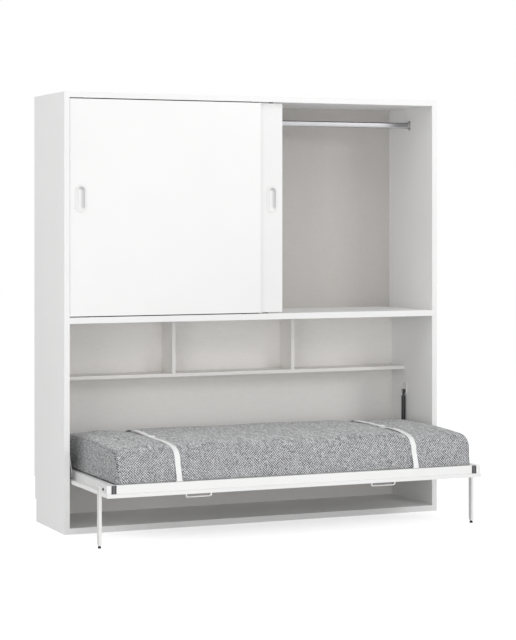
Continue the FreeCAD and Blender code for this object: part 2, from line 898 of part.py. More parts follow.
def mattress_section(x, height_share, inset=0):
    """Closed outline of the mattress across its width at one x, lower towards its ends."""
    half = mattress_width / 2 - inset
    shoulder = half - mattress_lean
    crest = half - mattress_lean - mattress_corner_depth
    side_z = mattress_side_height * height_share
    crest_z = (mattress_thickness - mattress_crown) * height_share
    crown_z = mattress_thickness * height_share
    knee = shoulder - mattress_knee_depth
    knee_z = side_z + (crest_z - side_z) * mattress_knee_share

    def point(dy, dz):
        return Vector(x, mattress_y + dy, mattress_bottom_z + dz)

    edges = [Part.LineSegment(point(-half, 0), point(half, 0)),
             Part.LineSegment(point(half, 0), point(shoulder, side_z)),
             Part.Arc(point(shoulder, side_z), point(knee, knee_z), point(crest, crest_z)),
             Part.Arc(point(crest, crest_z), point(0, crown_z), point(-crest, crest_z)),
             Part.Arc(point(-crest, crest_z), point(-knee, knee_z), point(-shoulder, side_z)),
             Part.LineSegment(point(-shoulder, side_z), point(-half, 0))]
    return Part.Wire([edge.toShape() for edge in edges])


def mattress():
    """Mattress with a crown and rounded ends."""
    end_x = mattress_length / 2
    right = [(end_x - share * mattress_rounded_end, height,
              corner_inset(share * mattress_rounded_end))
             for share, height in mattress_end_shares]
    left = [(-x, height, inset) for x, height, inset in reversed(right)]
    sections = [mattress_section(x, height, inset) for x, height, inset in left + right]
    return Part.makeLoft(sections, True, True)


def loop_places(sign):
    """Near and far face of the strap loops on one long rail, as values of y."""
    near = mattress_y + sign * (mattress_width / 2 + loop_inset)
    return near, near + sign * loop_wire


def strap_hem(x, sign):
    """Folded end of a strap around the bar of its loop."""
    near, far = loop_places(sign)
    bar_low = rail_top_z + loop_height - loop_wire
    bar_high = rail_top_z + loop_height
    play = strap_hem_play
    cover = strap_thickness + play
    fold = box(x, x + strap_width, mattress_y + sign * mattress_width / 2, far + sign * cover,
               bar_low - cover, bar_high + cover)
    bar = box(x - cut_overrun, x + strap_width + cut_overrun, near - sign * play,
              far + sign * play, bar_low - play, bar_high + play)
    return fold.cut(bar)


def strap(side):
    """Strap over the mattress between the loops on the two long rails."""
    x = side * strap_x - strap_width / 2
    section = mattress_section(x, 1)
    outer = Part.Face(section.makeOffset2D(strap_gap + strap_thickness))
    inner = Part.Face(section.makeOffset2D(strap_gap))
    band = outer.cut(inner).extrude(X_AXIS * strap_width)
    reach = mattress_width / 2 + strap_gap + strap_thickness + cut_overrun
    low_z = rail_top_z + loop_height - loop_wire - strap_thickness
    below = box(x - cut_overrun, x + strap_width + cut_overrun, mattress_y - reach,
                mattress_y + reach, mattress_bottom_z - cut_overrun, low_z)
    return fuse_all([band.cut(below)] + [strap_hem(x, sign) for sign in SIDES])


def strap_loop(x, sign):
    """Wire loop on top of a long rail that holds the end of a strap."""
    half = loop_width / 2
    near, far = loop_places(sign)
    posts = [box(x + end * half, x + end * (half - loop_wire), near, far,
                 rail_top_z, rail_top_z + loop_height) for end in SIDES]
    bar = box(x - half, x + half, near, far, rail_top_z + loop_height - loop_wire,
              rail_top_z + loop_height)
    return fuse_all(posts + [bar])


def strap_loops():
    """The four strap loops."""
    return Part.makeCompound([strap_loop(side * strap_x, sign) for side in SIDES for sign in SIDES])


def strap_buckle(side):
    """Flat adjuster that lies on a strap."""
    x = side * strap_x
    y = bed_front_y + buckle_inset
    top_z = mattress_bottom_z + mattress_thickness + strap_gap + strap_thickness + strap_gap
    half_x = buckle_width / 2
    half_y = buckle_length / 2
    frame = box(x - half_x, x + half_x, y - half_y, y + half_y, top_z, top_z + buckle_thickness)
    slot_x = strap_width / 2
    near = buckle_bar_length / 2
    far = near + buckle_slot_length
    slots = [box(x - slot_x, x + slot_x, y + end * near, y + end * far, top_z - cut_overrun,
                 top_z + buckle_thickness + cut_overrun) for end in SIDES]
    return cut_all(frame, slots)


def handle(x):
    """Bent bar handle under the front panel."""
    low_z = bed_face_height - handle_projection + handle_bar / 2
    half = handle_pitch / 2
    bend_z = low_z + handle_bend
    near = handle_bend * (1 - math.sqrt(0.5))

    def point(dx, z):
        return Vector(x + dx, handle_y, z)

    edges = [Part.LineSegment(point(-half, bed_face_height), point(-half, bend_z)),
             Part.Arc(point(-half, bend_z), point(-half + near, low_z + near),
                      point(-half + handle_bend, low_z)),
             Part.LineSegment(point(-half + handle_bend, low_z), point(half - handle_bend, low_z)),
             Part.Arc(point(half - handle_bend, low_z), point(half - near, low_z + near),
                      point(half, bend_z)),
             Part.LineSegment(point(half, bend_z), point(half, bed_face_height))]
    path = Part.Wire([edge.toShape() for edge in edges])
    ring = Part.Wire(Part.makeCircle(handle_bar / 2, point(-half, bed_face_height), Z_AXIS))
    return path.makePipeShell([ring], True, False)


def handles():
    """Both handles, drilled for their screws."""
    shapes = [cut_all(handle(x), handle_screw_list()) for x in handle_places()]
    return Part.makeCompound(shapes)


def panel_screw_list():
    """Screws through the cross bars into the front panel."""
    mid_y = (front_rail_rear_y + rear_rail_front_y) / 2
    head_z = panel_top_z + cross_bar_height
    shank = cross_bar_height + panel_screw_depth
    return [screw_z(side * cross_bar_spread / 2, mid_y + step * cross_bar_screw_pitch,
                    head_z, shank, -1) for side in SIDES for step in (-1, 0, 1)]


def pivot_arm():
    """Steel plate on the right side rail with the eye that turns on the pivot pin."""
    x0 = side_rail_outer_x
    x1 = x0 + arm_thickness
    half_base = arm_base / 2
    half_eye = arm_eye / 2
    base_z = panel_top_z + (rail_height - arm_base_height) / 2
    outline = [(pivot_y - half_base, base_z), (pivot_y + half_base, base_z),
               (pivot_y + half_base, base_z + arm_base_height), (pivot_y + half_eye, pivot_z),
               (pivot_y - half_eye, pivot_z), (pivot_y - half_base, base_z + arm_base_height)]
    plate = prism_x(outline, x0, x1)
    eye = rod_x(x0, x1, pivot_y, pivot_z, arm_eye)
    bore = rod_x(x0 - cut_overrun, x1 + cut_overrun, pivot_y, pivot_z, pivot_pin + 2 * pivot_play)
    return fuse_all([plate, eye]).cut(bore)


def spring_foot_bracket():
    """Plate on the right side rail beside the lower end of the gas spring."""
    half = spring_plate_width / 2
    mid_z = spring_foot_height
    return box(side_rail_outer_x, side_rail_outer_x + spring_foot_plate, spring_y - half,
               spring_y + half, mid_z - spring_foot_plate_height / 2,
               mid_z + spring_foot_plate_height / 2)


def leg_bracket():
    """Steel bracket at the front corner: a plate behind the leg's bolt and a hollow block."""
    x0 = side_rail_outer_x
    block_y = leg_y - leg_depth / 2 - leg_block_gap
    block = box(x0, panel_x, frame_front_y, block_y, panel_top_z, rail_top_z)
    hollow = box(x0 - cut_overrun, panel_x - leg_block_wall, frame_front_y + leg_block_wall,
                 block_y - leg_block_wall, panel_top_z - cut_overrun, rail_top_z - leg_block_wall)
    plate = box(x0, x0 + leg_plate, block_y - leg_block_wall, leg_y + leg_depth / 2,
                panel_top_z, leg_pivot_height + leg_depth / 2)
    hole = rod_x(x0 - cut_overrun, x0 + leg_plate + cut_overrun, leg_y, leg_pivot_height, leg_bolt)
    return fuse_all([block.cut(hollow), plate]).cut(hole)


def leg_bolt_shape():
    """Bolt that the leg turns on, its head sunk in the leg's outer face."""
    head_outer = leg_outer_x - leg_wall_gap / 2
    head = rod_x(head_outer, head_outer - leg_bolt_head_length, leg_y, leg_pivot_height,
                 leg_bolt_head)
    shank = rod_x(head_outer - leg_bolt_head_length, side_rail_outer_x, leg_y, leg_pivot_height,
                  leg_bolt)
    return fuse_all([head, shank])


def leg_spacer_shape():
    """Plastic spacer on the bolt between the bracket's plate and the leg."""
    x0 = side_rail_outer_x + leg_plate
    x1 = leg_inner_x - side_play
    outer = rod_x(x0, x1, leg_y, leg_pivot_height, leg_spacer)
    bore = rod_x(x0 - cut_overrun, x1 + cut_overrun, leg_y, leg_pivot_height, leg_bolt)
    return outer.cut(bore)


def leg():
    """Flat tube leg with a round top and a tapered lower end."""
    x0 = leg_inner_x
    x1 = leg_outer_x
    half = leg_depth / 2
    taper_top = foot_height + leg_taper_height
    outline = [(leg_y - half, leg_pivot_height), (leg_y - half, taper_top),
               (leg_y - half + leg_taper, foot_height), (leg_y + half - leg_taper, foot_height),
               (leg_y + half, taper_top), (leg_y + half, leg_pivot_height)]
    body = fuse_all([prism_x(outline, x0, x1), rod_x(x0, x1, leg_y, leg_pivot_height, leg_depth)])
    hollow = box(x0 + leg_wall, x1 - leg_wall, leg_y - half + leg_wall, leg_y + half - leg_wall,
                 taper_top, leg_pivot_height - half - leg_wall)
    bore = rod_x(x0 - cut_overrun, x1 + cut_overrun, leg_y, leg_pivot_height,
                 leg_bolt + 2 * pivot_play)
    sink = rod_x(x1 + cut_overrun, x1 - leg_wall_gap / 2 - leg_bolt_head_length - side_play,
                 leg_y, leg_pivot_height, leg_bolt_head + 2 * side_play)
    socket = rod_z(foot_height, taper_top, (x0 + x1) / 2, leg_y, foot_stem)
    return cut_all(body, [hollow, bore, sink, socket])


def leg_foot():
    """Black foot under the leg with a stem in the leg's end."""
    x = (leg_inner_x + leg_outer_x) / 2
    pad = Part.makeCylinder(foot_diameter / 2, foot_pad_height, Vector(x, leg_y, 0), Z_AXIS)
    skirt = Part.makeCone(foot_diameter / 2, foot_stem / 2, foot_height - foot_pad_height,
                          Vector(x, leg_y, foot_pad_height), Z_AXIS)
    stem = rod_z(foot_height, foot_height + leg_taper_height, x, leg_y, foot_stem)
    reach = foot_diameter / 2
    room = box(leg_inner_x, leg_outer_x, leg_y - reach, leg_y + reach, 0, leg_pivot_height)
    return fuse_all([pad, skirt, stem]).common(room)


def spring_eye_shape(z, bored):
    """End fitting of a gas spring around its stud."""
    half = spring_eye_width / 2
    eye = rod_x(spring_x - half, spring_x + half, spring_y, z, spring_eye)
    if bored:
        return eye.cut(rod_x(spring_x - half - cut_overrun, spring_x + half + cut_overrun,
                             spring_y, z, spring_stud + 2 * pivot_play))
    return eye


def spring_body_top_z():
    """Height of the upper end of the gas spring's cylinder."""
    return spring_top_height - spring_neck_length


def gas_cylinder():
    """Cylinder of the right gas spring, hung from its stud on the side panel."""
    top_z = spring_body_top_z()
    low_z = top_z - spring_length
    body = rod_z(top_z, low_z, spring_x, spring_y, spring_diameter)
    bore = rod_z(top_z - spring_gland, low_z + spring_gland, spring_x, spring_y,
                 spring_diameter - 2 * spring_wall)
    exit_hole = rod_z(low_z - cut_overrun, low_z + spring_gland, spring_x, spring_y,
                      spring_rod + 2 * spring_rod_play)
    neck = rod_z(top_z, spring_top_height, spring_x, spring_y, spring_neck)
    stud_room = rod_x(spring_x - spring_eye_width, spring_x + spring_eye_width, spring_y,
                      spring_top_height, spring_stud + 2 * pivot_play)
    shell = fuse_all([cut_all(body, [bore, exit_hole]), neck, spring_eye_shape(spring_top_height, True)])
    return shell.cut(stud_room)


def gas_rod():
    """Piston rod of the right gas spring with its piston, end fitting and stud."""
    top_z = spring_body_top_z() - spring_gland - spring_piston_margin
    piston = rod_z(top_z, top_z - spring_piston_length, spring_x, spring_y,
                   spring_diameter - 2 * (spring_wall + spring_piston_play))
    shaft = rod_z(top_z, spring_foot_height, spring_x, spring_y, spring_rod)
    stud = rod_x(side_rail_outer_x + spring_foot_plate + spring_stud_gap,
                 spring_x, spring_y, spring_foot_height, spring_stud)
    return fuse_all([piston, shaft, spring_eye_shape(spring_foot_height, False), stud])


def build_cabinet():
    """Nodes of the cabinet and of what is fixed to it."""
    right_panel = side_panel()
    pin = pivot_pin_shape()
    brackets = [wall_bracket(side * wall_bracket_x) for side in SIDES]
    return {
        "left_side_panel": mirror_x(right_panel),
        "right_side_panel": right_panel,
        "top_panel": top_panel(),
        "middle_shelf": middle_shelf(),
        "bottom_panel": bottom_panel(),
        "upper_back_panel": upper_back_panel(),
        "lower_back_panel": lower_back_panel(),
        "niche_shelf": niche_shelf(),
        "niche_dividers": Part.makeCompound([niche_divider(1), niche_divider(2)]),
        "wardrobe_divider": wardrobe_divider(),
        "carcass_dowels": carcass_dowels(),
        "hanging_rail": hanging_rail(),
        "hanging_rail_supports": rail_supports(),
        "top_guide_track": top_guide_track(),
        "bottom_guide_track": bottom_guide_track(),
        "door_stops": Part.makeCompound([rear_door_stop()] + door_bumpers()),
        "wall_brackets": Part.makeCompound(brackets),
        "pivot_plates": both_sides(pivot_plate()),
        "pivot_pins": both_sides(pin),
        "cabinet_screws": cabinet_screws(),
        "spring_top_brackets": both_sides(spring_top_bracket()),
    }


def build_doors():
    """Nodes of the two sliding doors."""
    front_mid, rear_mid = door_planes()
    front_pull_x = front_door_x + pull_edge_inset
    rear_pull_x = rear_door_x + door_width - pull_edge_inset
    nodes = {
        "front_door_board": door(front_door_x, front_door_y, front_pull_x),
        "front_door_pull": door_pull(front_pull_x, front_door_y),
        "front_door_roller_housings": roller_carriers(front_door_x, front_mid),
        "front_door_guides": door_guides(front_door_x, front_mid),
        "rear_door_board": door(rear_door_x, rear_door_y, rear_pull_x),
        "rear_door_pull": door_pull(rear_pull_x, rear_door_y),
        "rear_door_roller_housings": roller_carriers(rear_door_x, rear_mid),
        "rear_door_guides": door_guides(rear_door_x, rear_mid),
    }
    for name, left_x, mid_y in (("front", front_door_x, front_mid), ("rear", rear_door_x, rear_mid)):
        places = door_fitting_places(left_x, roller_inset)
        nodes[name + "_door_left_roller"] = roller(places[0], mid_y)
        nodes[name + "_door_right_roller"] = roller(places[1], mid_y)
    return nodes


def build_bed():
    """Nodes of the folding bed."""
    return {
        "bed_front_panel": bed_front_panel(),
        "bed_front_rail": front_rail(),
        "bed_rear_rail": rear_rail(),
        "bed_side_rails": both_sides(side_rail()),
        "rail_end_plugs": both_sides(corner_plug()),
        "cross_bars": Part.makeCompound([cross_bar(side) for side in SIDES]),
        "slats": slats(),
        "slat_holders": slat_holders(),
        "mattress": mattress(),
        "straps": Part.makeCompound([strap(side) for side in SIDES]),
        "strap_loops": strap_loops(),
        "strap_buckles": Part.makeCompound([strap_buckle(side) for side in SIDES]),
        "handles": handles(),
        "bed_screws": Part.makeCompound(handle_screw_list() + panel_screw_list()),
        "pivot_arms": both_sides(pivot_arm()),
        "spring_foot_brackets": both_sides(spring_foot_bracket()),
        "leg_brackets": both_sides(leg_bracket()),
        "leg_bolts": both_sides(leg_bolt_shape()),
        "leg_spacers": both_sides(leg_spacer_shape()),
    }


def build_legs_and_springs():
    """Nodes of the two legs and of the two gas springs."""
    nodes = {}
    for name, shape in (("leg", leg()), ("leg_foot", leg_foot()),
                        ("gas_spring_cylinder", gas_cylinder()), ("gas_spring_rod", gas_rod())):
        nodes[name + "_left"] = mirror_x(shape)
        nodes[name + "_right"] = shape
    return nodes


def main():
    """Write every node to its own file."""
    os.makedirs("parts", exist_ok=True)
    nodes = {}
    for group in (build_cabinet(), build_doors(), build_bed(), build_legs_and_springs()):
        nodes.update(group)
    for name, shape in nodes.items():
        shape.exportStep("parts/" + name + ".step")
        print(name, "solids", len(shape.Solids), "volume", round(shape.Volume))
    print("nodes", len(nodes))


main()
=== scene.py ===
"""Dresses the folding wall bed: softened edges, board, paint, metal and cloth finishes."""
import json
from functools import partial
from math import atan2, cos, dist, hypot, pi, radians, sin, sqrt, tau

import bmesh
import bpy
import numpy as np
from bpy.props import FloatProperty, FloatVectorProperty, IntProperty, PointerProperty
from bpy.types import NodeSocket, Operator, Panel, PropertyGroup
from mathutils import Matrix, Vector

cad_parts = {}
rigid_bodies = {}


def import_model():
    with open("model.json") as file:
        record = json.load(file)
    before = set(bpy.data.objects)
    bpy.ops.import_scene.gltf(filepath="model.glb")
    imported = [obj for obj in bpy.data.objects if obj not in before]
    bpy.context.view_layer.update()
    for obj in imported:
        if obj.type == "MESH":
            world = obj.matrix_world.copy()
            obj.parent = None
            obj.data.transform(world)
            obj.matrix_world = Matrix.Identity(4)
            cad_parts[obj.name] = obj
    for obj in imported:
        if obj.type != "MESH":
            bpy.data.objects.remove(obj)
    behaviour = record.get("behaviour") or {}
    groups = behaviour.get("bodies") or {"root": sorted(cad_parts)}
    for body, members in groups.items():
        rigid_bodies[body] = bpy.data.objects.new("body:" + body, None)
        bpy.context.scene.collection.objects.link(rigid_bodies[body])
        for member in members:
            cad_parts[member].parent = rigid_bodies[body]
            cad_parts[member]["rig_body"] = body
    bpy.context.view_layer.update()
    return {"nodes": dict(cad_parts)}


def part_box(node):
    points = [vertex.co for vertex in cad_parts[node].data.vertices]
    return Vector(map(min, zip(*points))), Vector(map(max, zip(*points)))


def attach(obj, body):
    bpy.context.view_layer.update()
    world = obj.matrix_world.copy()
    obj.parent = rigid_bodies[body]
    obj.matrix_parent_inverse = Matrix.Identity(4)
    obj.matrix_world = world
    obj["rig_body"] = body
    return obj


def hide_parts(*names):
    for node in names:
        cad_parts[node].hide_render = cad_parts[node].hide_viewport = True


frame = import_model()

bl_info = {
    "name": "Folding Wall Bed",
    "version": (1, 0, 0),
    "blender": (4, 5, 0),
    "location": "3D View > Sidebar > Wall Bed",
    "description": "Builds the finished look of a folding wall bed on its solid parts",
    "category": "Add Mesh",
}


# Sizes taken from the solid parts

STRAP_WIDTH = 0.027
PLUG_INWARD = 0.006

mattress_low, mattress_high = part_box("mattress")
mattress_half = (mattress_high.y - mattress_low.y) / 2
mattress_y = (mattress_high.y + mattress_low.y) / 2
mattress_rise = mattress_high.z - mattress_low.z
strap_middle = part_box("straps")[1].x - STRAP_WIDTH / 2
plug_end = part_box("rail_end_plugs")[1].x
plug_half = (plug_end - (mattress_high.x - PLUG_INWARD)) / 2
rail_low, rail_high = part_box("bed_front_rail")


def length(label, text, value):
    """Length property with a name and a description."""
    return FloatProperty(name=label, description=text, default=value, unit="LENGTH")


def colour(label, text, *value):
    """Colour property with a name and a description."""
    return FloatVectorProperty(name=label, description=text, default=value, size=3,
                               subtype="COLOR", min=0.0, max=1.0)


class WallBedSizes(PropertyGroup):
    """Sizes a user may change."""

    board_edge: length("Board edge", "Rounding along the edges of the boards", 0.0008)
    tube_edge: length("Tube edge", "Rounding along the edges of the steel tubes", 0.002)
    fitting_edge: length("Fitting edge", "Rounding along the edges of small fittings", 0.0006)
    mattress_grid: length("Mattress grid", "Distance between the points of the mattress cover",
                          0.0135)
    mattress_puff: length("Mattress puff", "Most that the mattress cover may swell", 0.005)
    weave_pitch: length("Weave pitch", "Distance between two yarns of the mattress cover", 0.0063)
    strap_thickness: length("Strap thickness", "Thickness of the mattress straps", 0.0016)
    cloth_steps: IntProperty(
        name="Cloth steps", description="Steps of the simulation that plumps the mattress",
        default=20, min=1, max=60)


class WallBedColours(PropertyGroup):
    """Colours a user may change."""

    board: colour("Board", "White laminate of the cabinet", 0.845, 0.845, 0.842)
    door: colour("Door", "White laminate of the sliding doors", 0.86, 0.86, 0.857)
    linen: colour("Wardrobe back", "Warm grey laminate of the wardrobe's back",
                  0.545, 0.525, 0.504)
    niche: colour("Niche board", "Pale warm laminate of the niches and the lower back",
                  0.865, 0.845, 0.822)
    paint: colour("Paint", "Powder coat of the bed frame", 0.87, 0.87, 0.865)
    yarn_light: colour("Light yarn", "Lightest yarn of the mattress cover", 0.83, 0.84, 0.855)
    yarn_dark: colour("Dark yarn", "Darkest yarn of the mattress cover", 0.05, 0.053, 0.057)
    webbing: colour("Webbing", "Straps over the mattress", 0.95, 0.95, 0.945)
    plug: colour("Plug", "Plastic plugs in the ends of the rails", 0.058, 0.058, 0.062)
    wood: colour("Slat wood", "Lacquered slats under the mattress", 0.66, 0.47, 0.28)
    floor: colour("Floor", "Floor and backdrop", 0.93, 0.93, 0.93)


def sizes():
    """The scene's sizes."""
    return bpy.context.scene.wall_bed_sizes


# Material helpers

def rgba(value):
    """Opaque colour from a grey or from three parts."""
    return (value, value, value, 1.0) if isinstance(value, float) else (*value, 1.0)


def fill(tree, node, sockets):
    """Joins outputs to a node's sockets, which are named or numbered, or sets their values."""
    for key, value in sockets.items():
        socket = node.inputs[key]
        if isinstance(value, NodeSocket):
            tree.links.new(value, socket)
        else:
            socket.default_value = rgba(value) if socket.type == "RGBA" else value


def add(tree, kind, sockets, **settings):
    """Adds a node with its settings and fills its sockets."""
    node = tree.nodes.new(kind)
    for key, value in settings.items():
        setattr(node, key, value)
    fill(tree, node, sockets)
    return node


def maths(tree, operation, *values):
    """Result of a math node on outputs or numbers."""
    return add(tree, "ShaderNodeMath", dict(enumerate(values)), operation=operation).outputs[0]


def place(tree, *scale):
    """Object coordinates, multiplied by a number for each axis where there are numbers."""
    spot = add(tree, "ShaderNodeTexCoord", {}).outputs["Object"]
    return add(tree, "ShaderNodeMapping", {"Vector": spot, "Scale": scale or (1, 1, 1)}).outputs[0]


def axes(tree, vector):
    """The three parts of a vector."""
    return add(tree, "ShaderNodeSeparateXYZ", {0: vector}).outputs[:3]


def noise(tree, vector, scale, detail=2.0, rough=0.5):
    """Value of a noise texture."""
    return add(tree, "ShaderNodeTexNoise", {"Vector": vector, "Scale": scale, "Detail": detail,
                                            "Roughness": rough}).outputs["Fac"]


def ramp(tree, factor, *stops):
    """Colour of a ramp with stops of (position, colour or grey)."""
    node = add(tree, "ShaderNodeValToRGB", {"Fac": factor})
    elements = node.color_ramp.elements
    while len(elements) < len(stops):
        elements.new(0.5)
    for element, (position, value) in zip(elements, stops):
        element.position = position
        element.color = rgba(value)
    return node.outputs["Color"]


def spread(tree, value, low, high):
    """Maps a value between nought and one onto low and high."""
    return add(tree, "ShaderNodeMapRange", {"Value": value, "To Min": low,
                                            "To Max": high}).outputs["Result"]


def mixed(tree, first, second, factor=1.0, blend="MULTIPLY"):
    """Mix of two colours, which are multiplied unless another blend is named."""
    return add(tree, "ShaderNodeMix", {0: factor, 6: first, 7: second}, data_type="RGBA",
               blend_type=blend).outputs[2]


def facing(tree, *direction):
    """How far the surface faces a direction: nought away from it, one towards it."""
    normal = add(tree, "ShaderNodeNewGeometry", {}).outputs["Normal"]
    product = add(tree, "ShaderNodeVectorMath", {0: normal, 1: direction},
                  operation="DOT_PRODUCT").outputs["Value"]
    return maths(tree, "MULTIPLY_ADD", product, 0.5, 0.5)


def tinted(base, factor):
    """Colour made lighter or darker by a factor."""
    return tuple(min(1.0, part * factor) for part in base)


def tints(tree, value, base, *stops):
    """Colour of a ramp in tints of one colour, with stops of (position, factor)."""
    return ramp(tree, value, *((position, tinted(base, factor)) for position, factor in stops))


def dress(tree, tone, relief, distance, strength, sockets):
    """Gives the shader its colour, a bump from a relief and what its other sockets hold."""
    bump = add(tree, "ShaderNodeBump", {"Height": relief, "Distance": distance,
                                        "Strength": strength}).outputs["Normal"]
    fill(tree, tree.nodes["Principled BSDF"], {"Base Color": tone, "Normal": bump, **sockets})


# Finishes

def white_laminate(tree, base):
    """Smooth white laminate with a faint pore and a satin sheen."""
    tone = tints(tree, noise(tree, place(tree), 2.2, 3.0), base, (0.3, 0.985), (0.7, 1.01))
    pores = noise(tree, place(tree, 1.0, 1.0, 0.35), 900.0, 3.0, 0.6)
    dress(tree, tone, pores, 0.00004, 0.5,
          {"Roughness": spread(tree, pores, 0.34, 0.46), "Specular IOR Level": 0.35})


def linen_laminate(tree, base):
    """Warm grey laminate printed and embossed like woven linen."""
    along = noise(tree, place(tree, 22.0, 22.0, 900.0), 1.0, 2.0, 0.6)
    upright = noise(tree, place(tree, 900.0, 900.0, 22.0), 1.0, 2.0, 0.6)
    weave = maths(tree, "MULTIPLY", maths(tree, "ADD", along, upright), 0.5)
    threads = tints(tree, weave, base, (0.34, 0.93), (0.5, 1.0), (0.66, 1.05))
    patch = spread(tree, noise(tree, place(tree), 3.0, 3.0), 0.0, 0.08)
    dress(tree, mixed(tree, threads, tinted(base, 0.85), patch, "MIX"), weave, 0.0002, 0.5,
          {"Roughness": spread(tree, weave, 0.5, 0.68), "Specular IOR Level": 0.25})


def powder_coat(tree, base, low=0.3, high=0.42):
    """Powder coat with its fine orange peel, and painted shade where it faces left."""
    tone = tints(tree, noise(tree, place(tree), 9.0, 3.0), base, (0.3, 0.98), (0.7, 1.01))
    # Painted shade: surfaces that face left are darkened.
    left_side_shade = ramp(tree, facing(tree, 1.0, 0.0, 0.0), (0.08, 0.84), (0.35, 1.0))
    peel = noise(tree, place(tree), 750.0, 2.0)
    dress(tree, mixed(tree, tone, left_side_shade), peel, 0.00006, 0.5,
          {"Roughness": spread(tree, peel, low, high), "Coat Weight": 0.12, "Coat Roughness": 0.2})


def brushed_metal(tree, base, stretch, roughness):
    """Metal with fine scratches along one axis."""
    lines = noise(tree, place(tree, *stretch), 1.0, 3.0, 0.6)
    dress(tree, tints(tree, lines, base, (0.3, 0.9), (0.7, 1.06)), lines, 0.00003, 0.4,
          {"Roughness": spread(tree, lines, *roughness), "Metallic": 1.0})


def moulded_plastic(tree, base, roughness=(0.42, 0.58), grain=1400.0):
    """Moulded plastic with a fine spark grain."""
    cells = noise(tree, place(tree), grain, 2.0, 0.7)
    tone = tints(tree, noise(tree, place(tree), 30.0, 2.0), base, (0.3, 0.93), (0.7, 1.06))
    dress(tree, tone, cells, 0.00005, 0.6, {"Roughness": spread(tree, cells, *roughness)})


def pull_plastic(tree, base):
    """White plastic of the finger pulls, with painted shade on flanks that turn from the light."""
    grain = noise(tree, place(tree), 1400.0, 3.0, 0.6)
    # Painted shade: flanks that face away from the upper right are darkened.
    tone = tints(tree, facing(tree, 0.76, 0.0, 0.65), base, (0.12, 0.55), (0.3, 0.68),
                 (0.47, 0.93), (0.53, 0.96), (0.8, 1.0))
    dress(tree, tone, grain, 0.00004, 0.4,
          {"Roughness": spread(tree, grain, 0.3, 0.42), "Specular IOR Level": 0.3})


def chrome_tube_painted_reflection(tree):
    """Chromed oval tube with a painted reflection: dim above and bright below."""
    # Painted reflection: bands of light and dark by how far each face turns up.
    tone = ramp(tree, facing(tree, 0.0, 0.0, 1.0), (0.05, (0.2, 0.2, 0.21)), (0.13, 0.74),
                (0.34, 0.78), (0.44, (0.36, 0.36, 0.37)), (0.82, (0.3, 0.3, 0.31)),
                (0.94, (0.08, 0.08, 0.085)))
    lines = noise(tree, place(tree, 6.0, 700.0, 700.0), 1.0, 3.0, 0.6)
    dress(tree, mixed(tree, tone, spread(tree, lines, 0.9, 1.06)), lines, 0.00002, 0.3,
          {"Metallic": 1.0, "Roughness": 0.3})


def plug_plastic(tree, base):
    """Dark grey plastic plug with a painted highlight down its middle, painted shade at its sides.
    """
    aside = maths(tree, "SUBTRACT", maths(tree, "ABSOLUTE", axes(tree, place(tree))[0]),
                  plug_end - plug_half)
    share = maths(tree, "DIVIDE", maths(tree, "ABSOLUTE", aside), plug_half)
    cells = noise(tree, place(tree), 1400.0, 2.0, 0.7)
    # Painted highlight in the middle of the face, painted shade toward its sides.
    tone = tints(tree, share, base, (0.2, 2.1), (0.75, 0.75))
    dress(tree, mixed(tree, tone, spread(tree, cells, 0.88, 1.1)), cells, 0.00005, 0.6,
          {"Roughness": spread(tree, cells, 0.4, 0.56)})


def lacquered_wood(tree, base):
    """Pale wood with grain along the slats."""
    grain = noise(tree, place(tree, 140.0, 6.0, 140.0), 1.0, 5.0, 0.65)
    rings = noise(tree, place(tree, 30.0, 1.4, 30.0), 1.0, 2.0)
    both = maths(tree, "MULTIPLY_ADD", rings, 0.5, maths(tree, "MULTIPLY", grain, 0.5))
    tone = tints(tree, both, base, (0.3, 0.68), (0.5, 1.0), (0.68, 1.2))
    dress(tree, tone, grain, 0.0001, 0.5, {"Roughness": spread(tree, grain, 0.3, 0.5)})


def yarn_place(tree):
    """Yarn coordinates of a cloth piece, in metres."""
    return add(tree, "ShaderNodeUVMap", {}, uv_map="weave").outputs["UV"]


def cell_flecks(tree, u, v, along_u, along_v):
    """Value that is random for each cell of a grid, from nought to one."""
    cell = add(tree, "ShaderNodeCombineXYZ",
               {"X": maths(tree, "FLOOR", maths(tree, "MULTIPLY", u, along_u)),
                "Y": maths(tree, "FLOOR", maths(tree, "MULTIPLY", v, along_v))}).outputs[0]
    return add(tree, "ShaderNodeTexWhiteNoise", {"Vector": cell},
               noise_dimensions="2D").outputs["Value"]


def yarn_runs(tree, across, along, fineness, run, strength):
    """Flecks that follow a yarn for a while, darker or lighter than the rest."""
    value = cell_flecks(tree, across, along, fineness, 1 / run)
    return maths(tree, "MULTIPLY", maths(tree, "SUBTRACT", value, 0.5), strength)


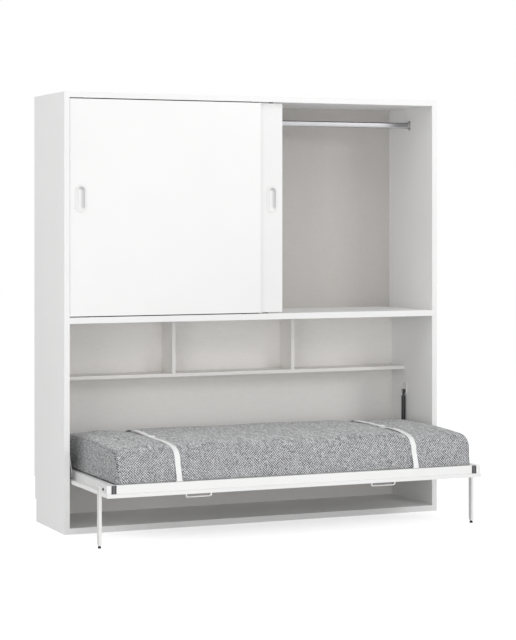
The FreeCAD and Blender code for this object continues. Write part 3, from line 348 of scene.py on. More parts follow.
def melange_cloth(tree, light, dark, pitch):
    """Grey mattress cover: a coarse plain weave of light and dark flecked yarns."""
    sum_up = partial(maths, tree)
    yarns = add(tree, "ShaderNodeMapping", {"Vector": yarn_place(tree),
                                            "Scale": (1 / pitch, 1 / pitch, 1.0)}).outputs[0]
    wander = noise(tree, yarns, 0.07, 2.0).node.outputs["Color"]
    yarns = add(tree, "ShaderNodeVectorMath", {0: wander, 1: (1.5, 1.5, 0.0), 2: yarns},
                operation="MULTIPLY_ADD").outputs[0]
    u, v, _ = axes(tree, yarns)
    over = sum_up("FLOORED_MODULO", sum_up("ADD", sum_up("FLOOR", u), sum_up("FLOOR", v)), 2.0)
    arch_u, arch_v = (sum_up("ABSOLUTE", sum_up("SINE", sum_up("MULTIPLY", way, pi)))
                      for way in (u, v))
    warp = sum_up("MULTIPLY", arch_u, sum_up("POWER", arch_v, 0.45))
    weft = sum_up("MULTIPLY", arch_v, sum_up("POWER", arch_u, 0.45))
    height = add(tree, "ShaderNodeMix", {0: over, 2: warp, 3: weft}).outputs[0]
    tone = 0.0
    for value, weight in ((over, 0.42), (cell_flecks(tree, u, v, 1.0, 1.0), 0.1),
                          (cell_flecks(tree, u, v, 2.0, 2.0), 0.6),
                          (noise(tree, yarns, 0.12, 3.0, 0.7), 0.07),
                          (noise(tree, yarns, 2.3, 2.0, 0.7), 0.06)):
        tone = sum_up("MULTIPLY_ADD", value, weight, tone)
    upward = ramp(tree, facing(tree, 0.0, 0.0, 1.0), (0.88, 0.0), (0.97, 0.75))
    sideways = sum_up("ABSOLUTE", sum_up("MULTIPLY_ADD", facing(tree, 1.0, 0.0, 0.0), 2.0, -1.0))
    endward = ramp(tree, sideways, (0.5, 0.0), (0.9, 0.5))
    tone = sum_up("ADD", tone, yarn_runs(tree, u, v, 2.0, 4.0, upward))
    tone = sum_up("ADD", tone, yarn_runs(tree, v, u, 1.0, 1.2, endward))
    between = tuple(0.5 * (a + b) for a, b in zip(light, dark))
    yarn = ramp(tree, tone, (0.365, dark), (0.625, between), (0.885, light))
    # Painted shade: faces that turn toward the ends are darker, with a darker band along the
    # rounded corner.
    end_shade_and_corner_band = ramp(tree, sideways, (0.3, 1.0), (0.55, 0.66), (0.8, 0.6), (0.97, 0.78))
    # Painted shade: the weave is darker where it dips between the yarns.
    shaded = mixed(tree, mixed(tree, yarn, spread(tree, height, 0.62, 1.06)), end_shade_and_corner_band)
    dress(tree, shaded, height, 0.0012, 0.7, {"Roughness": 0.92, "Specular IOR Level": 0.15,
                                              "Sheen Weight": 0.5, "Sheen Roughness": 0.45})


def strap_webbing(tree, base):
    """White webbing with ribs across the strap, with painted shade between the ribs."""
    across, along, _ = axes(tree, yarn_place(tree))
    ribs, rows = (maths(tree, "SINE", maths(tree, "MULTIPLY", way, tau / pitch))
                  for way, pitch in ((along, 0.0016), (across, 0.0022)))
    height = maths(tree, "MULTIPLY_ADD", maths(tree, "MULTIPLY", ribs, rows), 0.5, 0.5)
    # Painted shade: the webbing is darker where it dips between the ribs.
    tone = tints(tree, height, base, (0.0, 0.84), (1.0, 1.0))
    dress(tree, tone, height, 0.0003, 0.7, {"Roughness": 0.7, "Sheen Weight": 0.2})


def pale_floor(tree, base):
    """Matt floor that keeps its shadows and looks a little brighter than it is lit."""
    shader = tree.nodes["Principled BSDF"]
    fill(tree, shader, {"Base Color": base, "Roughness": 0.9, "Specular IOR Level": 0.0})
    seen = add(tree, "ShaderNodeLightPath", {}).outputs["Is Camera Ray"]
    glow = add(tree, "ShaderNodeEmission", {"Color": 1.0,
                                            "Strength": maths(tree, "MULTIPLY", seen, 0.5)})
    both = add(tree, "ShaderNodeAddShader", {0: shader.outputs[0], 1: glow.outputs[0]})
    fill(tree, tree.nodes["Material Output"], {"Surface": both.outputs[0]})


def recipes():
    """What makes each finish: its function and the values that go with it."""
    hues = bpy.context.scene.wall_bed_colours
    along_x = (8.0, 500.0, 500.0)
    return {
        "white_laminate": (white_laminate, hues.board),
        "door_laminate": (white_laminate, hues.door),
        # The rear door's laminate is the door colour darkened: painted shade for its place behind
        # the front door.
        "rear_door_shaded_laminate": (white_laminate, tinted(hues.door, 0.965)),
        "linen_laminate": (linen_laminate, hues.linen),
        "niche_laminate": (linen_laminate, hues.niche),
        "white_paint": (powder_coat, hues.paint),
        "black_paint": (powder_coat, (0.022, 0.022, 0.024), 0.25, 0.38),
        "zinc": (brushed_metal, (0.62, 0.62, 0.63), (300.0, 300.0, 300.0), (0.28, 0.42)),
        # Steel of the rail supports: its own grey, darkened partly as painted shade for the cup's
        # shadowed edge.
        "satin_steel": (brushed_metal, (0.5, 0.5, 0.49), along_x, (0.22, 0.36)),
        "pale_satin": (brushed_metal, (0.95, 0.945, 0.93), along_x, (0.3, 0.45)),
        "chrome_tube_painted_reflection": (chrome_tube_painted_reflection,),
        "piston_chrome": (brushed_metal, (0.82, 0.82, 0.83), (200.0, 200.0, 8.0), (0.06, 0.12)),
        "white_plastic": (moulded_plastic, (0.86, 0.86, 0.855), (0.3, 0.42)),
        "black_plastic": (moulded_plastic, (0.02, 0.02, 0.021)),
        "plug_plastic": (plug_plastic, hues.plug),
        "pull_plastic": (pull_plastic, hues.door),
        "rubber": (moulded_plastic, (0.016, 0.016, 0.016), (0.6, 0.8), 700.0),
        "lacquered_wood": (lacquered_wood, hues.wood),
        "melange_cloth": (melange_cloth, hues.yarn_light, hues.yarn_dark, sizes().weave_pitch),
        "strap_webbing": (strap_webbing, hues.webbing),
        "pale_floor": (pale_floor, hues.floor),
    }


finishes = {}


def finish_of(name):
    """Makes a finish once and keeps it."""
    if name not in finishes:
        recipe, *values = recipes()[name]
        finishes[name] = bpy.data.materials.new(name)
        finishes[name].use_nodes = True
        recipe(finishes[name].node_tree, *values)
    return finishes[name]


# Mesh helpers

def new_object(name, work, finish, smooth=False):
    """Object of a bmesh, which is used up, with a finish."""
    for face in work.faces:
        face.smooth = face.smooth or smooth
    mesh = bpy.data.meshes.new(name + "_mesh")
    work.to_mesh(mesh)
    work.free()
    mesh.materials.append(finish_of(finish))
    made = bpy.data.objects.new(name, mesh)
    bpy.context.scene.collection.objects.link(made)
    return made


def new_piece(name, work, finish, body, smooth=False, even=False):
    """Piece of a bmesh that rides on a body, with evened shading if asked for."""
    piece = new_object(name, work, finish, smooth)
    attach(piece, body)
    if even:
        piece.modifiers.new("even_shading", "WEIGHTED_NORMAL").keep_sharp = True
    return piece


def body_of_node(node):
    """Name of the body that a node rides on."""
    return frame["nodes"][node]["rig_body"]


def stand_in(node, work, finish):
    """Piece of a bmesh that takes a node's place."""
    piece = new_piece(node + "_piece", work, finish, body_of_node(node),
                      smooth=True, even=True)
    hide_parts(node)


def rounded(work, edges, width, segments):
    """Rounds edges of a bmesh."""
    bmesh.ops.bevel(work, geom=edges, offset=width, offset_type="OFFSET", segments=segments,
                    profile=0.5, affect="EDGES", clamp_overlap=True)


def slab(work, low, high):
    """Adds a box between two corners."""
    for vert in bmesh.ops.create_cube(work, size=1.0)["verts"]:
        vert.co = Vector(a + (b - a) * (part + 0.5) for a, b, part in zip(low, high, vert.co))


def skin(work, rings):
    """Adds a closed skin over rings of points and gives the faces along its sides."""
    rings = [[work.verts.new(point) for point in ring] for ring in rings]
    sides = []
    for first, second in zip(rings, rings[1:]):
        for k in range(len(first)):
            following = (k + 1) % len(first)
            sides.append(work.faces.new([first[k], first[following], second[following],
                                         second[k]]))
    for end in (rings[0][::-1], rings[-1]):
        work.faces.new(end)
    return sides


def outward(work):
    """Turns every face of a bmesh outward."""
    bmesh.ops.recalc_face_normals(work, faces=work.faces)


SHARP_ANGLE = radians(38.0)
FLAT_ANGLE = radians(0.4)


def soften(node, width, finish, segments=2):
    """Piece that stands for a node: the same shape with softly rounded edges."""
    work = bmesh.new()
    work.from_mesh(frame["nodes"][node].data)
    bmesh.ops.remove_doubles(work, verts=work.verts, dist=2e-6)
    bmesh.ops.dissolve_limit(work, angle_limit=FLAT_ANGLE, verts=work.verts, edges=work.edges,
                             delimit=set())
    sharp = [edge for edge in work.edges if len(edge.link_faces) == 2
             and edge.calc_face_angle(0.0) > SHARP_ANGLE]
    if sharp and width > 0:
        rounded(work, sharp, width, segments)
    bmesh.ops.dissolve_degenerate(work, dist=1e-7, edges=work.edges)
    stand_in(node, work, finish)


def soften_all(groups, width, segments=2):
    """Softens groups of nodes, each group with its finish."""
    for finish, nodes in groups:
        for node in nodes:
            soften(node, width, finish, segments)


# Boards

BOARDS = (
    ("white_laminate", ("left_side_panel", "right_side_panel", "top_panel", "middle_shelf",
                        "bottom_panel", "wardrobe_divider", "bed_front_panel")),
    ("door_laminate", ("front_door_board",)),
    ("rear_door_shaded_laminate", ("rear_door_board",)),
    ("linen_laminate", ("upper_back_panel",)),
    ("niche_laminate", ("lower_back_panel", "niche_shelf", "niche_dividers")),
)


class WALLBED_OT_boards(Operator):
    """Softens the boards and gives them their laminates"""

    bl_idname = "wall_bed.boards"
    bl_label = "Boards"

    def execute(self, context):
        soften_all(BOARDS, sizes().board_edge)
        return {"FINISHED"}


# Steel

TUBES = (("white_paint", ("bed_front_rail", "bed_rear_rail", "bed_side_rails", "cross_bars")),)
BRACKETS = (("white_paint", ("leg_brackets", "pivot_arms", "spring_foot_brackets",
                             "spring_top_brackets", "pivot_plates")),)
TUBE_SHARE = 0.45


class WALLBED_OT_frame_steel(Operator):
    """Softens the tubes and brackets of the bed and paints them"""

    bl_idname = "wall_bed.frame_steel"
    bl_label = "Frame steel"

    def execute(self, context):
        soften_all(TUBES, sizes().tube_edge * TUBE_SHARE, 3)
        soften_all(BRACKETS, sizes().fitting_edge)
        return {"FINISHED"}


class WALLBED_OT_legs(Operator):
    """Softens the folding legs, their feet, bolts and spacers"""

    bl_idname = "wall_bed.legs"
    bl_label = "Legs"

    def execute(self, context):
        for side in ("left", "right"):
            soften("leg_" + side, sizes().tube_edge, "white_paint", 3)
            soften("leg_foot_" + side, sizes().fitting_edge, "rubber")
        soften("leg_bolts", sizes().fitting_edge, "zinc")
        soften("leg_spacers", sizes().fitting_edge, "black_plastic")
        return {"FINISHED"}


class WALLBED_OT_springs(Operator):
    """Softens and finishes the gas springs"""

    bl_idname = "wall_bed.springs"
    bl_label = "Gas springs"

    def execute(self, context):
        for side in ("left", "right"):
            soften("gas_spring_cylinder_" + side, sizes().fitting_edge * 2, "black_paint", 3)
            soften("gas_spring_rod_" + side, sizes().fitting_edge, "piston_chrome")
        return {"FINISHED"}


FITTINGS = (
    ("lacquered_wood", ("carcass_dowels",)), ("chrome_tube_painted_reflection", ("hanging_rail",)),
    ("satin_steel", ("hanging_rail_supports",)),
    ("white_plastic", ("top_guide_track", "bottom_guide_track", "door_stops")),
    ("zinc", ("wall_brackets", "pivot_pins", "cabinet_screws")),
    ("black_plastic", ("front_door_roller_housings", "front_door_guides",
                       "rear_door_roller_housings", "rear_door_guides",
                       "front_door_left_roller", "front_door_right_roller",
                       "rear_door_left_roller", "rear_door_right_roller")),
    ("lacquered_wood", ("slats",)), ("black_plastic", ("slat_holders",)),
    ("zinc", ("bed_screws",)),
)
FITTING_SHARE = 0.6
STRIP_THICKNESS = 0.0014
STRIP_GAP = 0.0001
STRIP_LAP = 0.006
STRIP_PLAY = 0.0008
STRIP_INSET = 0.002
STRIP_EDGE = 0.0004


def gap_shade_strips():
    """Thin black strips above and below the front door: painted shade in its gaps."""
    low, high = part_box("front_door_board")
    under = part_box("middle_shelf")[1].z + STRIP_PLAY
    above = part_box("top_panel")[0].z - STRIP_PLAY
    near = high.y + STRIP_GAP
    for name, bottom, top in (("gap_shade_strip_lower", under, low.z + STRIP_LAP),
                              ("gap_shade_strip_upper", high.z - STRIP_LAP, above)):
        work = bmesh.new()
        slab(work, (low.x + STRIP_INSET, near, bottom),
             (high.x - STRIP_INSET, near + STRIP_THICKNESS, top))
        rounded(work, work.edges[:], STRIP_EDGE, 2)
        new_piece(name, work, "black_plastic", body_of_node("front_door_board"))


HEAD_PROFILE = ((0.0052, -0.0003), (0.0052, 0.0006), (0.0045, 0.0014), (0.0026, 0.0020),
                (0.0018, 0.0020), (0.0016, 0.0008))
HEAD_HEIGHT = 0.283
HEADS = (("rail_screws_rear", -0.733, "black_paint", 2.4, 1.4),
         ("rail_screws_front", -0.765, "zinc", 1.2, 1.1))
HEAD_SIDES = 20


def rail_screws():
    """Domed screw heads on the outer faces of the leg brackets before the legs."""
    low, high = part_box("leg_brackets")
    turns = [tau * k / HEAD_SIDES for k in range(HEAD_SIDES)]
    for name, y, finish, tall, wide in HEADS:
        work = bmesh.new()
        for side, face in ((-1, low.x), (1, high.x)):
            skin(work, [[(face + side * out * tall, y + wide * radius * cos(turn),
                          HEAD_HEIGHT + wide * radius * sin(turn)) for turn in turns]
                        for radius, out in HEAD_PROFILE])
        outward(work)
        new_piece(name, work, finish, "bed")


class WALLBED_OT_fittings(Operator):
    """Softens and finishes the small fittings, slats and rollers"""

    bl_idname = "wall_bed.fittings"
    bl_label = "Fittings"

    def execute(self, context):
        soften_all(FITTINGS, sizes().fitting_edge * FITTING_SHARE)
        gap_shade_strips()
        rail_screws()
        return {"FINISHED"}


# Finger pulls

PULL_LIP = 0.0006
PULL_RIM = 0.0105
PULL_FLOOR = 0.0016
PULL_TURN = 0.0012
PULL_CHAMFER = 0.0003
PULL_START = 0.0008
HOLLOW_STEPS = 8
ROUND_STEPS = 14


def oblong(centre, width, height, depth):
    """Points of an upright oblong with round ends, at a depth behind the face."""
    radius = width / 2
    straight = (height - width) / 2
    return [(centre.x + radius * cos(angle), centre.y + depth,
             centre.z + end * straight + radius * sin(angle))
            for end, start in ((1, 0.0), (-1, pi))
            for angle in (start + pi * step / ROUND_STEPS for step in range(ROUND_STEPS + 1))]


def finger_pull(node):
    """Dished finger pull: a flat rim with a soft lip and a smooth hollow."""
    low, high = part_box(node)
    centre = Vector(((low.x + high.x) / 2, low.y, (low.z + high.z) / 2))
    width, height, depth = high.x - low.x, high.z - low.z, high.y - low.y
    run = width / 2 - PULL_RIM - PULL_TURN
    levels = [(0.0, depth), (0.0, PULL_LIP), (PULL_LIP * 0.3, PULL_LIP * 0.3), (PULL_LIP, 0.0),
              (PULL_RIM - PULL_TURN, 0.0), (PULL_RIM - PULL_CHAMFER, PULL_CHAMFER)]
    for share in (step / HOLLOW_STEPS for step in range(HOLLOW_STEPS + 1)):
        levels.append((PULL_RIM + run * share,
                       PULL_START + (depth - PULL_FLOOR) * (1 - (1 - share) ** 2)))
    work = bmesh.new()
    skin(work, [oblong(centre, width - 2 * inset, height - 2 * inset, down)
                for inset, down in levels])
    outward(work)
    stand_in(node, work, "pull_plastic")


class WALLBED_OT_pulls(Operator):
    """Makes the dished finger pulls in the doors"""

    bl_idname = "wall_bed.pulls"
    bl_label = "Finger pulls"

    def execute(self, context):
        finger_pull("front_door_pull")
        finger_pull("rear_door_pull")
        return {"FINISHED"}


class WALLBED_OT_handles(Operator):
    """Finishes the bar handles under the front panel"""

    bl_idname = "wall_bed.handles"
    bl_label = "Handles"

    def execute(self, context):
        soften("handles", 0.0, "pale_satin")
        return {"FINISHED"}


class WALLBED_OT_plugs(Operator):
    """Makes the rounded plugs in the front ends of the side rails"""

    bl_idname = "wall_bed.plugs"
    bl_label = "Rail end plugs"

    def execute(self, context):
        soften("rail_end_plugs", sizes().fitting_edge * 2, "plug_plastic", 3)
        return {"FINISHED"}


# Mattress

ROUND_END = 0.046
CORNER_RADIUS = 0.014
END_STATIONS = ((1.0, 1.0), (0.75, 0.996), (0.5, 0.985), (0.33, 0.972), (0.2, 0.955),
                (0.1, 0.932), (0.045, 0.91), (0.015, 0.892), (0.0, 0.872))
END_RINGS = ((0.94, 0.0003), (0.86, 0.0005), (0.72, 0.0007), (0.5, 0.0008), (0.25, 0.0008))
STRAP_DIP = 0.004
STRAP_REACH = 0.11
REAR_DIP = 0.019
REAR_REACH = 0.065
REAR_START = -0.10
REAR_RUN = 0.14
FOAM_DIP = 0.002
FOAM_WAVE = 0.0019
STRAP_HOLD = 0.0145
LEFT_END_INWARD = 0.016
RIGHT_END_OUTWARD = 0.002
LEAN = 0.007
FOOT = 0.006
SIDE_HEIGHT = 0.092
CORNER_DEPTH = 0.096
CROWN = 0.012
KNEE_INWARD = 0.029
KNEE_SHARE = 0.73
CREST_SHARE = 0.95
END_FREE = 0.03
UNDERSIDE = 0.004
CURVE_START = (-0.05, 0.999)
CURVE_END = (-1.0, 0.0)
CLOTH = {"quality": 6, "mass": 0.35, "tension_stiffness": 24.0, "compression_stiffness": 24.0,
         "shear_stiffness": 10.0, "bending_stiffness": 2.0, "vertex_group_mass": "held",
         "use_pressure": True, "uniform_pressure_force": 4.0}


def eased(share):
    """Smooth step from nought to one."""
    return share * share * (3 - 2 * share)


def beside(points, index):
    """Points before and after an index, or the point itself at an end."""
    return points[max(index - 1, 0)], points[min(index + 1, len(points) - 1)]


def smooth_curve(points, spacing):
    """Even points along a smooth curve through (y, z) points, without the first."""
    slopes = []
    for index in range(len(points)):
        before, after = beside(points, index)
        run = dist(before, after)
        slopes.append(((after[0] - before[0]) / run, (after[1] - before[1]) / run))
    slopes[0], slopes[-1] = CURVE_START, CURVE_END
    made = []
    for (start, end), (leave, arrive) in zip(zip(points, points[1:]), zip(slopes, slopes[1:])):
        run = dist(start, end)
        steps = max(2, round(run / spacing))
        for step in range(1, steps + 1):
            t = step / steps
            a, b = 2 * t ** 3 - 3 * t ** 2 + 1, t ** 3 - 2 * t ** 2 + t
            c, d = -2 * t ** 3 + 3 * t ** 2, t ** 3 - t ** 2
            made.append(tuple(a * start[k] + b * run * leave[k] + c * end[k] + d * run * arrive[k]
                              for k in (0, 1)))
    return made


def ring_points(grid):
    """Outline of the mattress across its width: (y, z) from the bed's middle and its slats."""
    half, height = mattress_half, mattress_rise
    shoulder = half - LEAN
    side = max(4, round(SIDE_HEIGHT / grid))
    right = [(half - FOOT, 0.0), (half - 0.001, 0.0025), (half - 0.0004, FOOT)]
    right += [(half + (shoulder - half) * k / side, FOOT + (SIDE_HEIGHT - FOOT) * k / side)
              for k in range(1, side + 1)]
    knee = (shoulder - KNEE_INWARD, SIDE_HEIGHT + (height - CROWN - SIDE_HEIGHT) * KNEE_SHARE)
    crest = (shoulder - CORNER_DEPTH, height - CROWN * CREST_SHARE)
    upper = smooth_curve([(shoulder, SIDE_HEIGHT), knee, crest, (0.0, height)], grid)
    right += upper[:-1]
    left = [(-y, z) for y, z in reversed(right)]
    under = max(8, round(2 * (half - FOOT) / grid))
    floor = [(-(half - FOOT) + 2 * (half - FOOT) * k / under, 0.0) for k in range(1, under)]
    return right + [(0.0, height)] + left + floor


def corner_inset(distance):
    """How far the long sides draw in near the mattress's ends."""
    rest = max(CORNER_RADIUS - distance, 0.0)
    return CORNER_RADIUS - sqrt(CORNER_RADIUS ** 2 - rest ** 2)


def stations(grid):
    """Places along the mattress's length with their height share and side inset."""
    end = mattress_high.x
    marks = [0.0, strap_middle - STRAP_HOLD, strap_middle + STRAP_HOLD, end - ROUND_END]
    whole = []
    for low, high in zip(marks, marks[1:]):
        count = max(2, round((high - low) / grid))
        whole += [(low + (high - low) * k / count, 1.0, 0.0) for k in range(count)]
    whole += [(end - share * ROUND_END, height, corner_inset(share * ROUND_END))
              for share, height in END_STATIONS]
    free = strap_middle + END_FREE

    def drawn(x, reach):
        """Moves the mattress's end along; the straps' part stays."""
        return x + reach * eased(max(0.0, x - free) / (end - free))

    left = [(-drawn(x, -LEFT_END_INWARD), height, inset) for x, height, inset in whole[1:]]
    right = [(drawn(x, RIGHT_END_OUTWARD), height, inset) for x, height, inset in whole]
    return left[::-1] + right


def mattress_cover(ring, places):
    """Closed cover of the mattress with its yarn coordinates."""
    low_z = mattress_low.z
    count = len(ring)
    arc = [0.0]
    for first, second in zip(ring, ring[1:] + ring[:1]):
        arc.append(arc[-1] + dist(first, second))
    work = bmesh.new()
    loops = []
    for x, height, inset in places:
        narrow = (mattress_half - inset) / mattress_half
        fall = (1 - height) * mattress_rise
        loops.append([work.verts.new((x, mattress_y + y * narrow,
                                      low_z + z - fall * (z / mattress_rise) ** 3))
                      for y, z in ring])
    uv = work.loops.layers.uv.new("weave")

    def face(points, coordinates):
        """Adds a face with its yarn coordinates."""
        made = work.faces.new(points)
        made.smooth = True
        for corner, spot in zip(made.loops, coordinates):
            corner[uv].uv = spot

    for row in range(len(places) - 1):
        x0, x1 = places[row][0], places[row + 1][0]
        for k in range(count):
            following = (k + 1) % count
            face([loops[row][k], loops[row + 1][k], loops[row + 1][following],
                  loops[row][following]],
                 [(x0, arc[k]), (x1, arc[k]), (x1, arc[k + 1]), (x0, arc[k + 1])])
    for row, sign in ((0, -1), (len(places) - 1, 1)):
        outer = loops[row]
        height = max(vert.co.z for vert in outer) - low_z
        middle = Vector((outer[0].co.x, mattress_y, low_z + height / 2))
        for share, bulge in END_RINGS:
            inner = []
            for vert in loops[row]:
                spot = middle + (vert.co - middle) * share
                spot.x = middle.x + sign * bulge
                spot.y = mattress_y + (vert.co.y - mattress_y) * (1 - (1 - share) * 0.5)
                inner.append(work.verts.new(spot))
            for k in range(count):
                following = (k + 1) % count
                corners = [outer[k], outer[following], inner[following], inner[k]][::-sign]
                face(corners, [vert.co.yz for vert in corners])
            outer = inner
        corners = outer[::-sign]
        face(corners, [vert.co.yz for vert in corners])
    outward(work)
    return work


def plump(piece, held, limit, steps):
    """Swells a cover with air pressure, held at some points, and keeps the result."""
    piece.vertex_groups.new(name="held").add(held, 1.0, "REPLACE")
    rest = np.array([vert.co for vert in piece.data.vertices])
    cloth = piece.modifiers.new("cloth", "CLOTH")
    for key, value in CLOTH.items():
        setattr(cloth.settings, key, value)
    cloth.settings.effector_weights.gravity = 0.0
    cloth.collision_settings.use_collision = False
    cloth.collision_settings.use_self_collision = False
    cloth.point_cache.frame_start = 1
    cloth.point_cache.frame_end = steps
    scene = bpy.context.scene
    for step in range(1, steps + 1):
        scene.frame_set(step)
    shown = piece.evaluated_get(bpy.context.evaluated_depsgraph_get())
    change = np.array([vert.co for vert in shown.to_mesh().vertices]) - rest
    shown.to_mesh_clear()
    piece.modifiers.remove(cloth)
    scene.frame_set(1)
    far = np.linalg.norm(change, axis=1)
    factor = np.where(far > limit, limit / np.maximum(far, 1e-9), 1.0)
    for vert, spot in zip(piece.data.vertices, rest + change * factor[:, None]):
        vert.co = spot
    piece.data.update()


def strap_nearness(x, reach):
    """One under a strap and nought beyond its reach to either side."""
    return 1.0 - eased(min(1.0, max(0.0, abs(abs(x) - strap_middle) - STRAP_HOLD) / reach))


def rear_hollow(y):
    """How much deeper the straps press into the mattress toward its rear."""
    return REAR_DIP * eased(min(1.0, max(0.0, (y - REAR_START) / REAR_RUN)))


def soften_by_hand(piece):
    """Adds the slow waves of the foam and the hollows that the straps press into it."""
    for vert in piece.data.vertices:
        x, y, z = vert.co
        lift = max(0.0, (z - mattress_low.z) / mattress_rise)
        near = strap_nearness(x, STRAP_REACH)
        wave = (sin(x * 8.3 + 1.3 * sin(y * 6.0)) * sin(y * 6.1 + x * 2.1 + 0.6)
                + 0.5 * sin(x * 15.0 - y * 11.0))
        hollow = FOAM_DIP + STRAP_DIP * near + rear_hollow(y) * strap_nearness(x, REAR_REACH)
        vert.co.z += FOAM_WAVE * wave * lift * (1 - near) - hollow * lift ** 3
    piece.data.update()


class WALLBED_OT_mattress(Operator):
    """Builds the padded mattress with its woven cover"""

    bl_idname = "wall_bed.mattress"
    bl_label = "Mattress"

    def execute(self, context):
        ring = ring_points(sizes().mattress_grid)
        places = stations(sizes().mattress_grid)
        piece = new_piece("mattress_cover", mattress_cover(ring, places), "melange_cloth", "bed")
        held = [row * len(ring) + k for row, (x, height, inset) in enumerate(places)
                for k, (y, z) in enumerate(ring)
                if z < UNDERSIDE or abs(abs(x) - strap_middle) < STRAP_HOLD + 0.0005]
        plump(piece, held, sizes().mattress_puff, sizes().cloth_steps)
        soften_by_hand(piece)
        smooth = piece.modifiers.new("smooth", "SUBSURF")
        smooth.levels = smooth.render_levels = 1
        smooth.use_limit_surface = False
        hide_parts("mattress")
        return {"FINISHED"}


# Straps

SLACK = {"left": ((-0.345, 0.03, 0.012), (-0.70, -0.45, 0.002)),
         "right": ((-0.33, 0.10, 0.006), (-0.70, -0.42, 0.007))}
STRAP_LIFT = 0.0012
STRAP_PITCH = 0.007
TOP_HEIGHT = 0.075
FRONT_BAR = 0.0035
REAR_BAR = 0.0065
BAR_RISE = 0.0052
HEM_RADIUS = 0.0022
HEM_LAP = 0.020
HEM_STEP = 0.005
FALL_STEPS = 8
FALL_BEND = 1.35
SEWN_GAP = 0.0004
TAIL_START = -0.012
TAIL_REACH = 0.15
TAIL_RISE = 0.002
TAIL_HUMP = 0.0018
HUMP_REACH = 0.02
WIRE_RADIUS = 0.0013
WIRE_BEND = 0.002
WIRE_SIDES = 12
LOOP_LAP = 0.0032
LOOP_SINK = 0.0005
BUCKLE_LAP = 0.010
BUCKLE_EDGE = 0.0011
BUCKLE_DEPTH = 0.034
BUCKLE_BAR = 0.0052


def offset_line(line, distance):
    """Line of (y, z) points moved away from the mattress."""
    moved = []
    for index, (y, z) in enumerate(line):
        before, after = beside(line, index)
        dy, dz = after[0] - before[0], after[1] - before[1]
        size = hypot(dy, dz)
        moved.append((y - dz / size * distance, z + dy / size * distance))
    return moved


def band(name, line, centre_x, thickness):
    """Strap along a line of (y, z) points: a thin closed band with yarn coordinates."""
    edge = 0.5 - thickness * 0.4 / STRAP_WIDTH
    profile = [(-0.5, 0.3), (-edge, 0.0), (edge, 0.0), (0.5, 0.3), (0.5, 0.7), (edge, 1.0),
               (-edge, 1.0), (-0.5, 0.7)]
    work = bmesh.new()
    uv = work.loops.layers.uv.new("weave")
    sides = skin(work, [[(centre_x + u * STRAP_WIDTH, iy + (oy - iy) * w, iz + (oz - iz) * w)
                         for u, w in profile]
                        for (iy, iz), (oy, oz) in zip(line, offset_line(line, thickness))])
    run = 0.0
    for index, side in enumerate(sides):
        row, k = divmod(index, len(profile))
        near, far = (profile[way % len(profile)][0] * STRAP_WIDTH for way in (k, k + 1))
        following = run + dist(line[row], line[row + 1])
        side.smooth = True
        for corner, spot in zip(side.loops, ((near, run), (far, run), (far, following),
                                             (near, following))):
            corner[uv].uv = spot
        if k == len(profile) - 1:
            run = following
    outward(work)
    return new_piece(name, work, "strap_webbing", "bed", even=True)


def over_mattress():
    """Line of (y, z) over the pressed mattress, from its front foot to its rear foot."""
    line = []
    for y, z in ring_points(STRAP_PITCH):
        if z > 0.002:
            hollow = FOAM_DIP + STRAP_DIP + rear_hollow(mattress_y - y)
            line.append((mattress_y - y, mattress_low.z + z - hollow * (z / mattress_rise) ** 3))
    return line


def hump(value, start, end, size):
    """Smooth rise of a size between two places."""
    if not start < value < end:
        return 0.0
    return size * sin(pi * (value - start) / (end - start)) ** 2


def bar_places():
    """Places (y, z) of the strap loops' bars on the front and the rear rail."""
    bar_z = rail_high.z + BAR_RISE
    return (rail_low.y + FRONT_BAR, bar_z), (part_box("bed_rear_rail")[0].y + REAR_BAR, bar_z)


def strap_line(side):
    """Line of a strap's inner face between its two hems."""
    crest = [(y, z + sum(hump(y, *slack) for slack in SLACK[side]))
             for y, z in offset_line(over_mattress(), STRAP_LIFT)]
    middle = [point for point in crest if point[1] > mattress_low.z + TOP_HEIGHT]
    falls = []
    for (bar_y, bar_z), (end_y, end_z), toward in zip(bar_places(), (middle[0], middle[-1]),
                                                      (-HEM_RADIUS, HEM_RADIUS)):
        start_y = bar_y + toward
        falls.append([(start_y + (end_y - start_y) * (k / FALL_STEPS) ** FALL_BEND,
                       bar_z + (end_z - bar_z) * k / FALL_STEPS) for k in range(FALL_STEPS)])
    return falls[0] + middle + falls[1][::-1]


def hem_turn(bar_y, bar_z, side):
    """Points of a strap's end round the bar of its loop, from its sewn end."""
    turn = [(bar_y - side * (HEM_RADIUS - SEWN_GAP), bar_z + HEM_LAP - HEM_STEP * k)
            for k in range(4)]
    return turn + [(bar_y - side * HEM_RADIUS * cos(radians(angle)),
                    bar_z - HEM_RADIUS * sin(radians(angle)))
                   for angle in range(0, 180, 30)]


def wire_loop(name, centre_x, bar_y, bar_z):
    """White loop that stands on a rail: two feet and a bar with rounded corners."""
    foot = rail_high.z - LOOP_SINK
    half = STRAP_WIDTH / 2 + LOOP_LAP
    right = [(half - WIRE_BEND * (1 - sin(a)), bar_z - WIRE_BEND * (1 - cos(a)))
             for a in np.linspace(0, pi / 2, 5)] + [(half, foot)]
    corners = [(-x, z) for x, z in right[::-1]] + right
    rings = []
    for index, (x, z) in enumerate(corners):
        before, after = beside(corners, index)
        size = dist(before, after)
        nx, nz = -(after[1] - before[1]) / size, (after[0] - before[0]) / size
        rings.append([(centre_x + x + nx * WIRE_RADIUS * cos(a),
                       bar_y + WIRE_RADIUS * sin(a), z + nz * WIRE_RADIUS * cos(a))
                      for a in np.linspace(0, tau, WIRE_SIDES + 1)[:-1]])
    work = bmesh.new()
    skin(work, rings)
    outward(work)
    return new_piece(name, work, "white_paint", "bed", smooth=True)


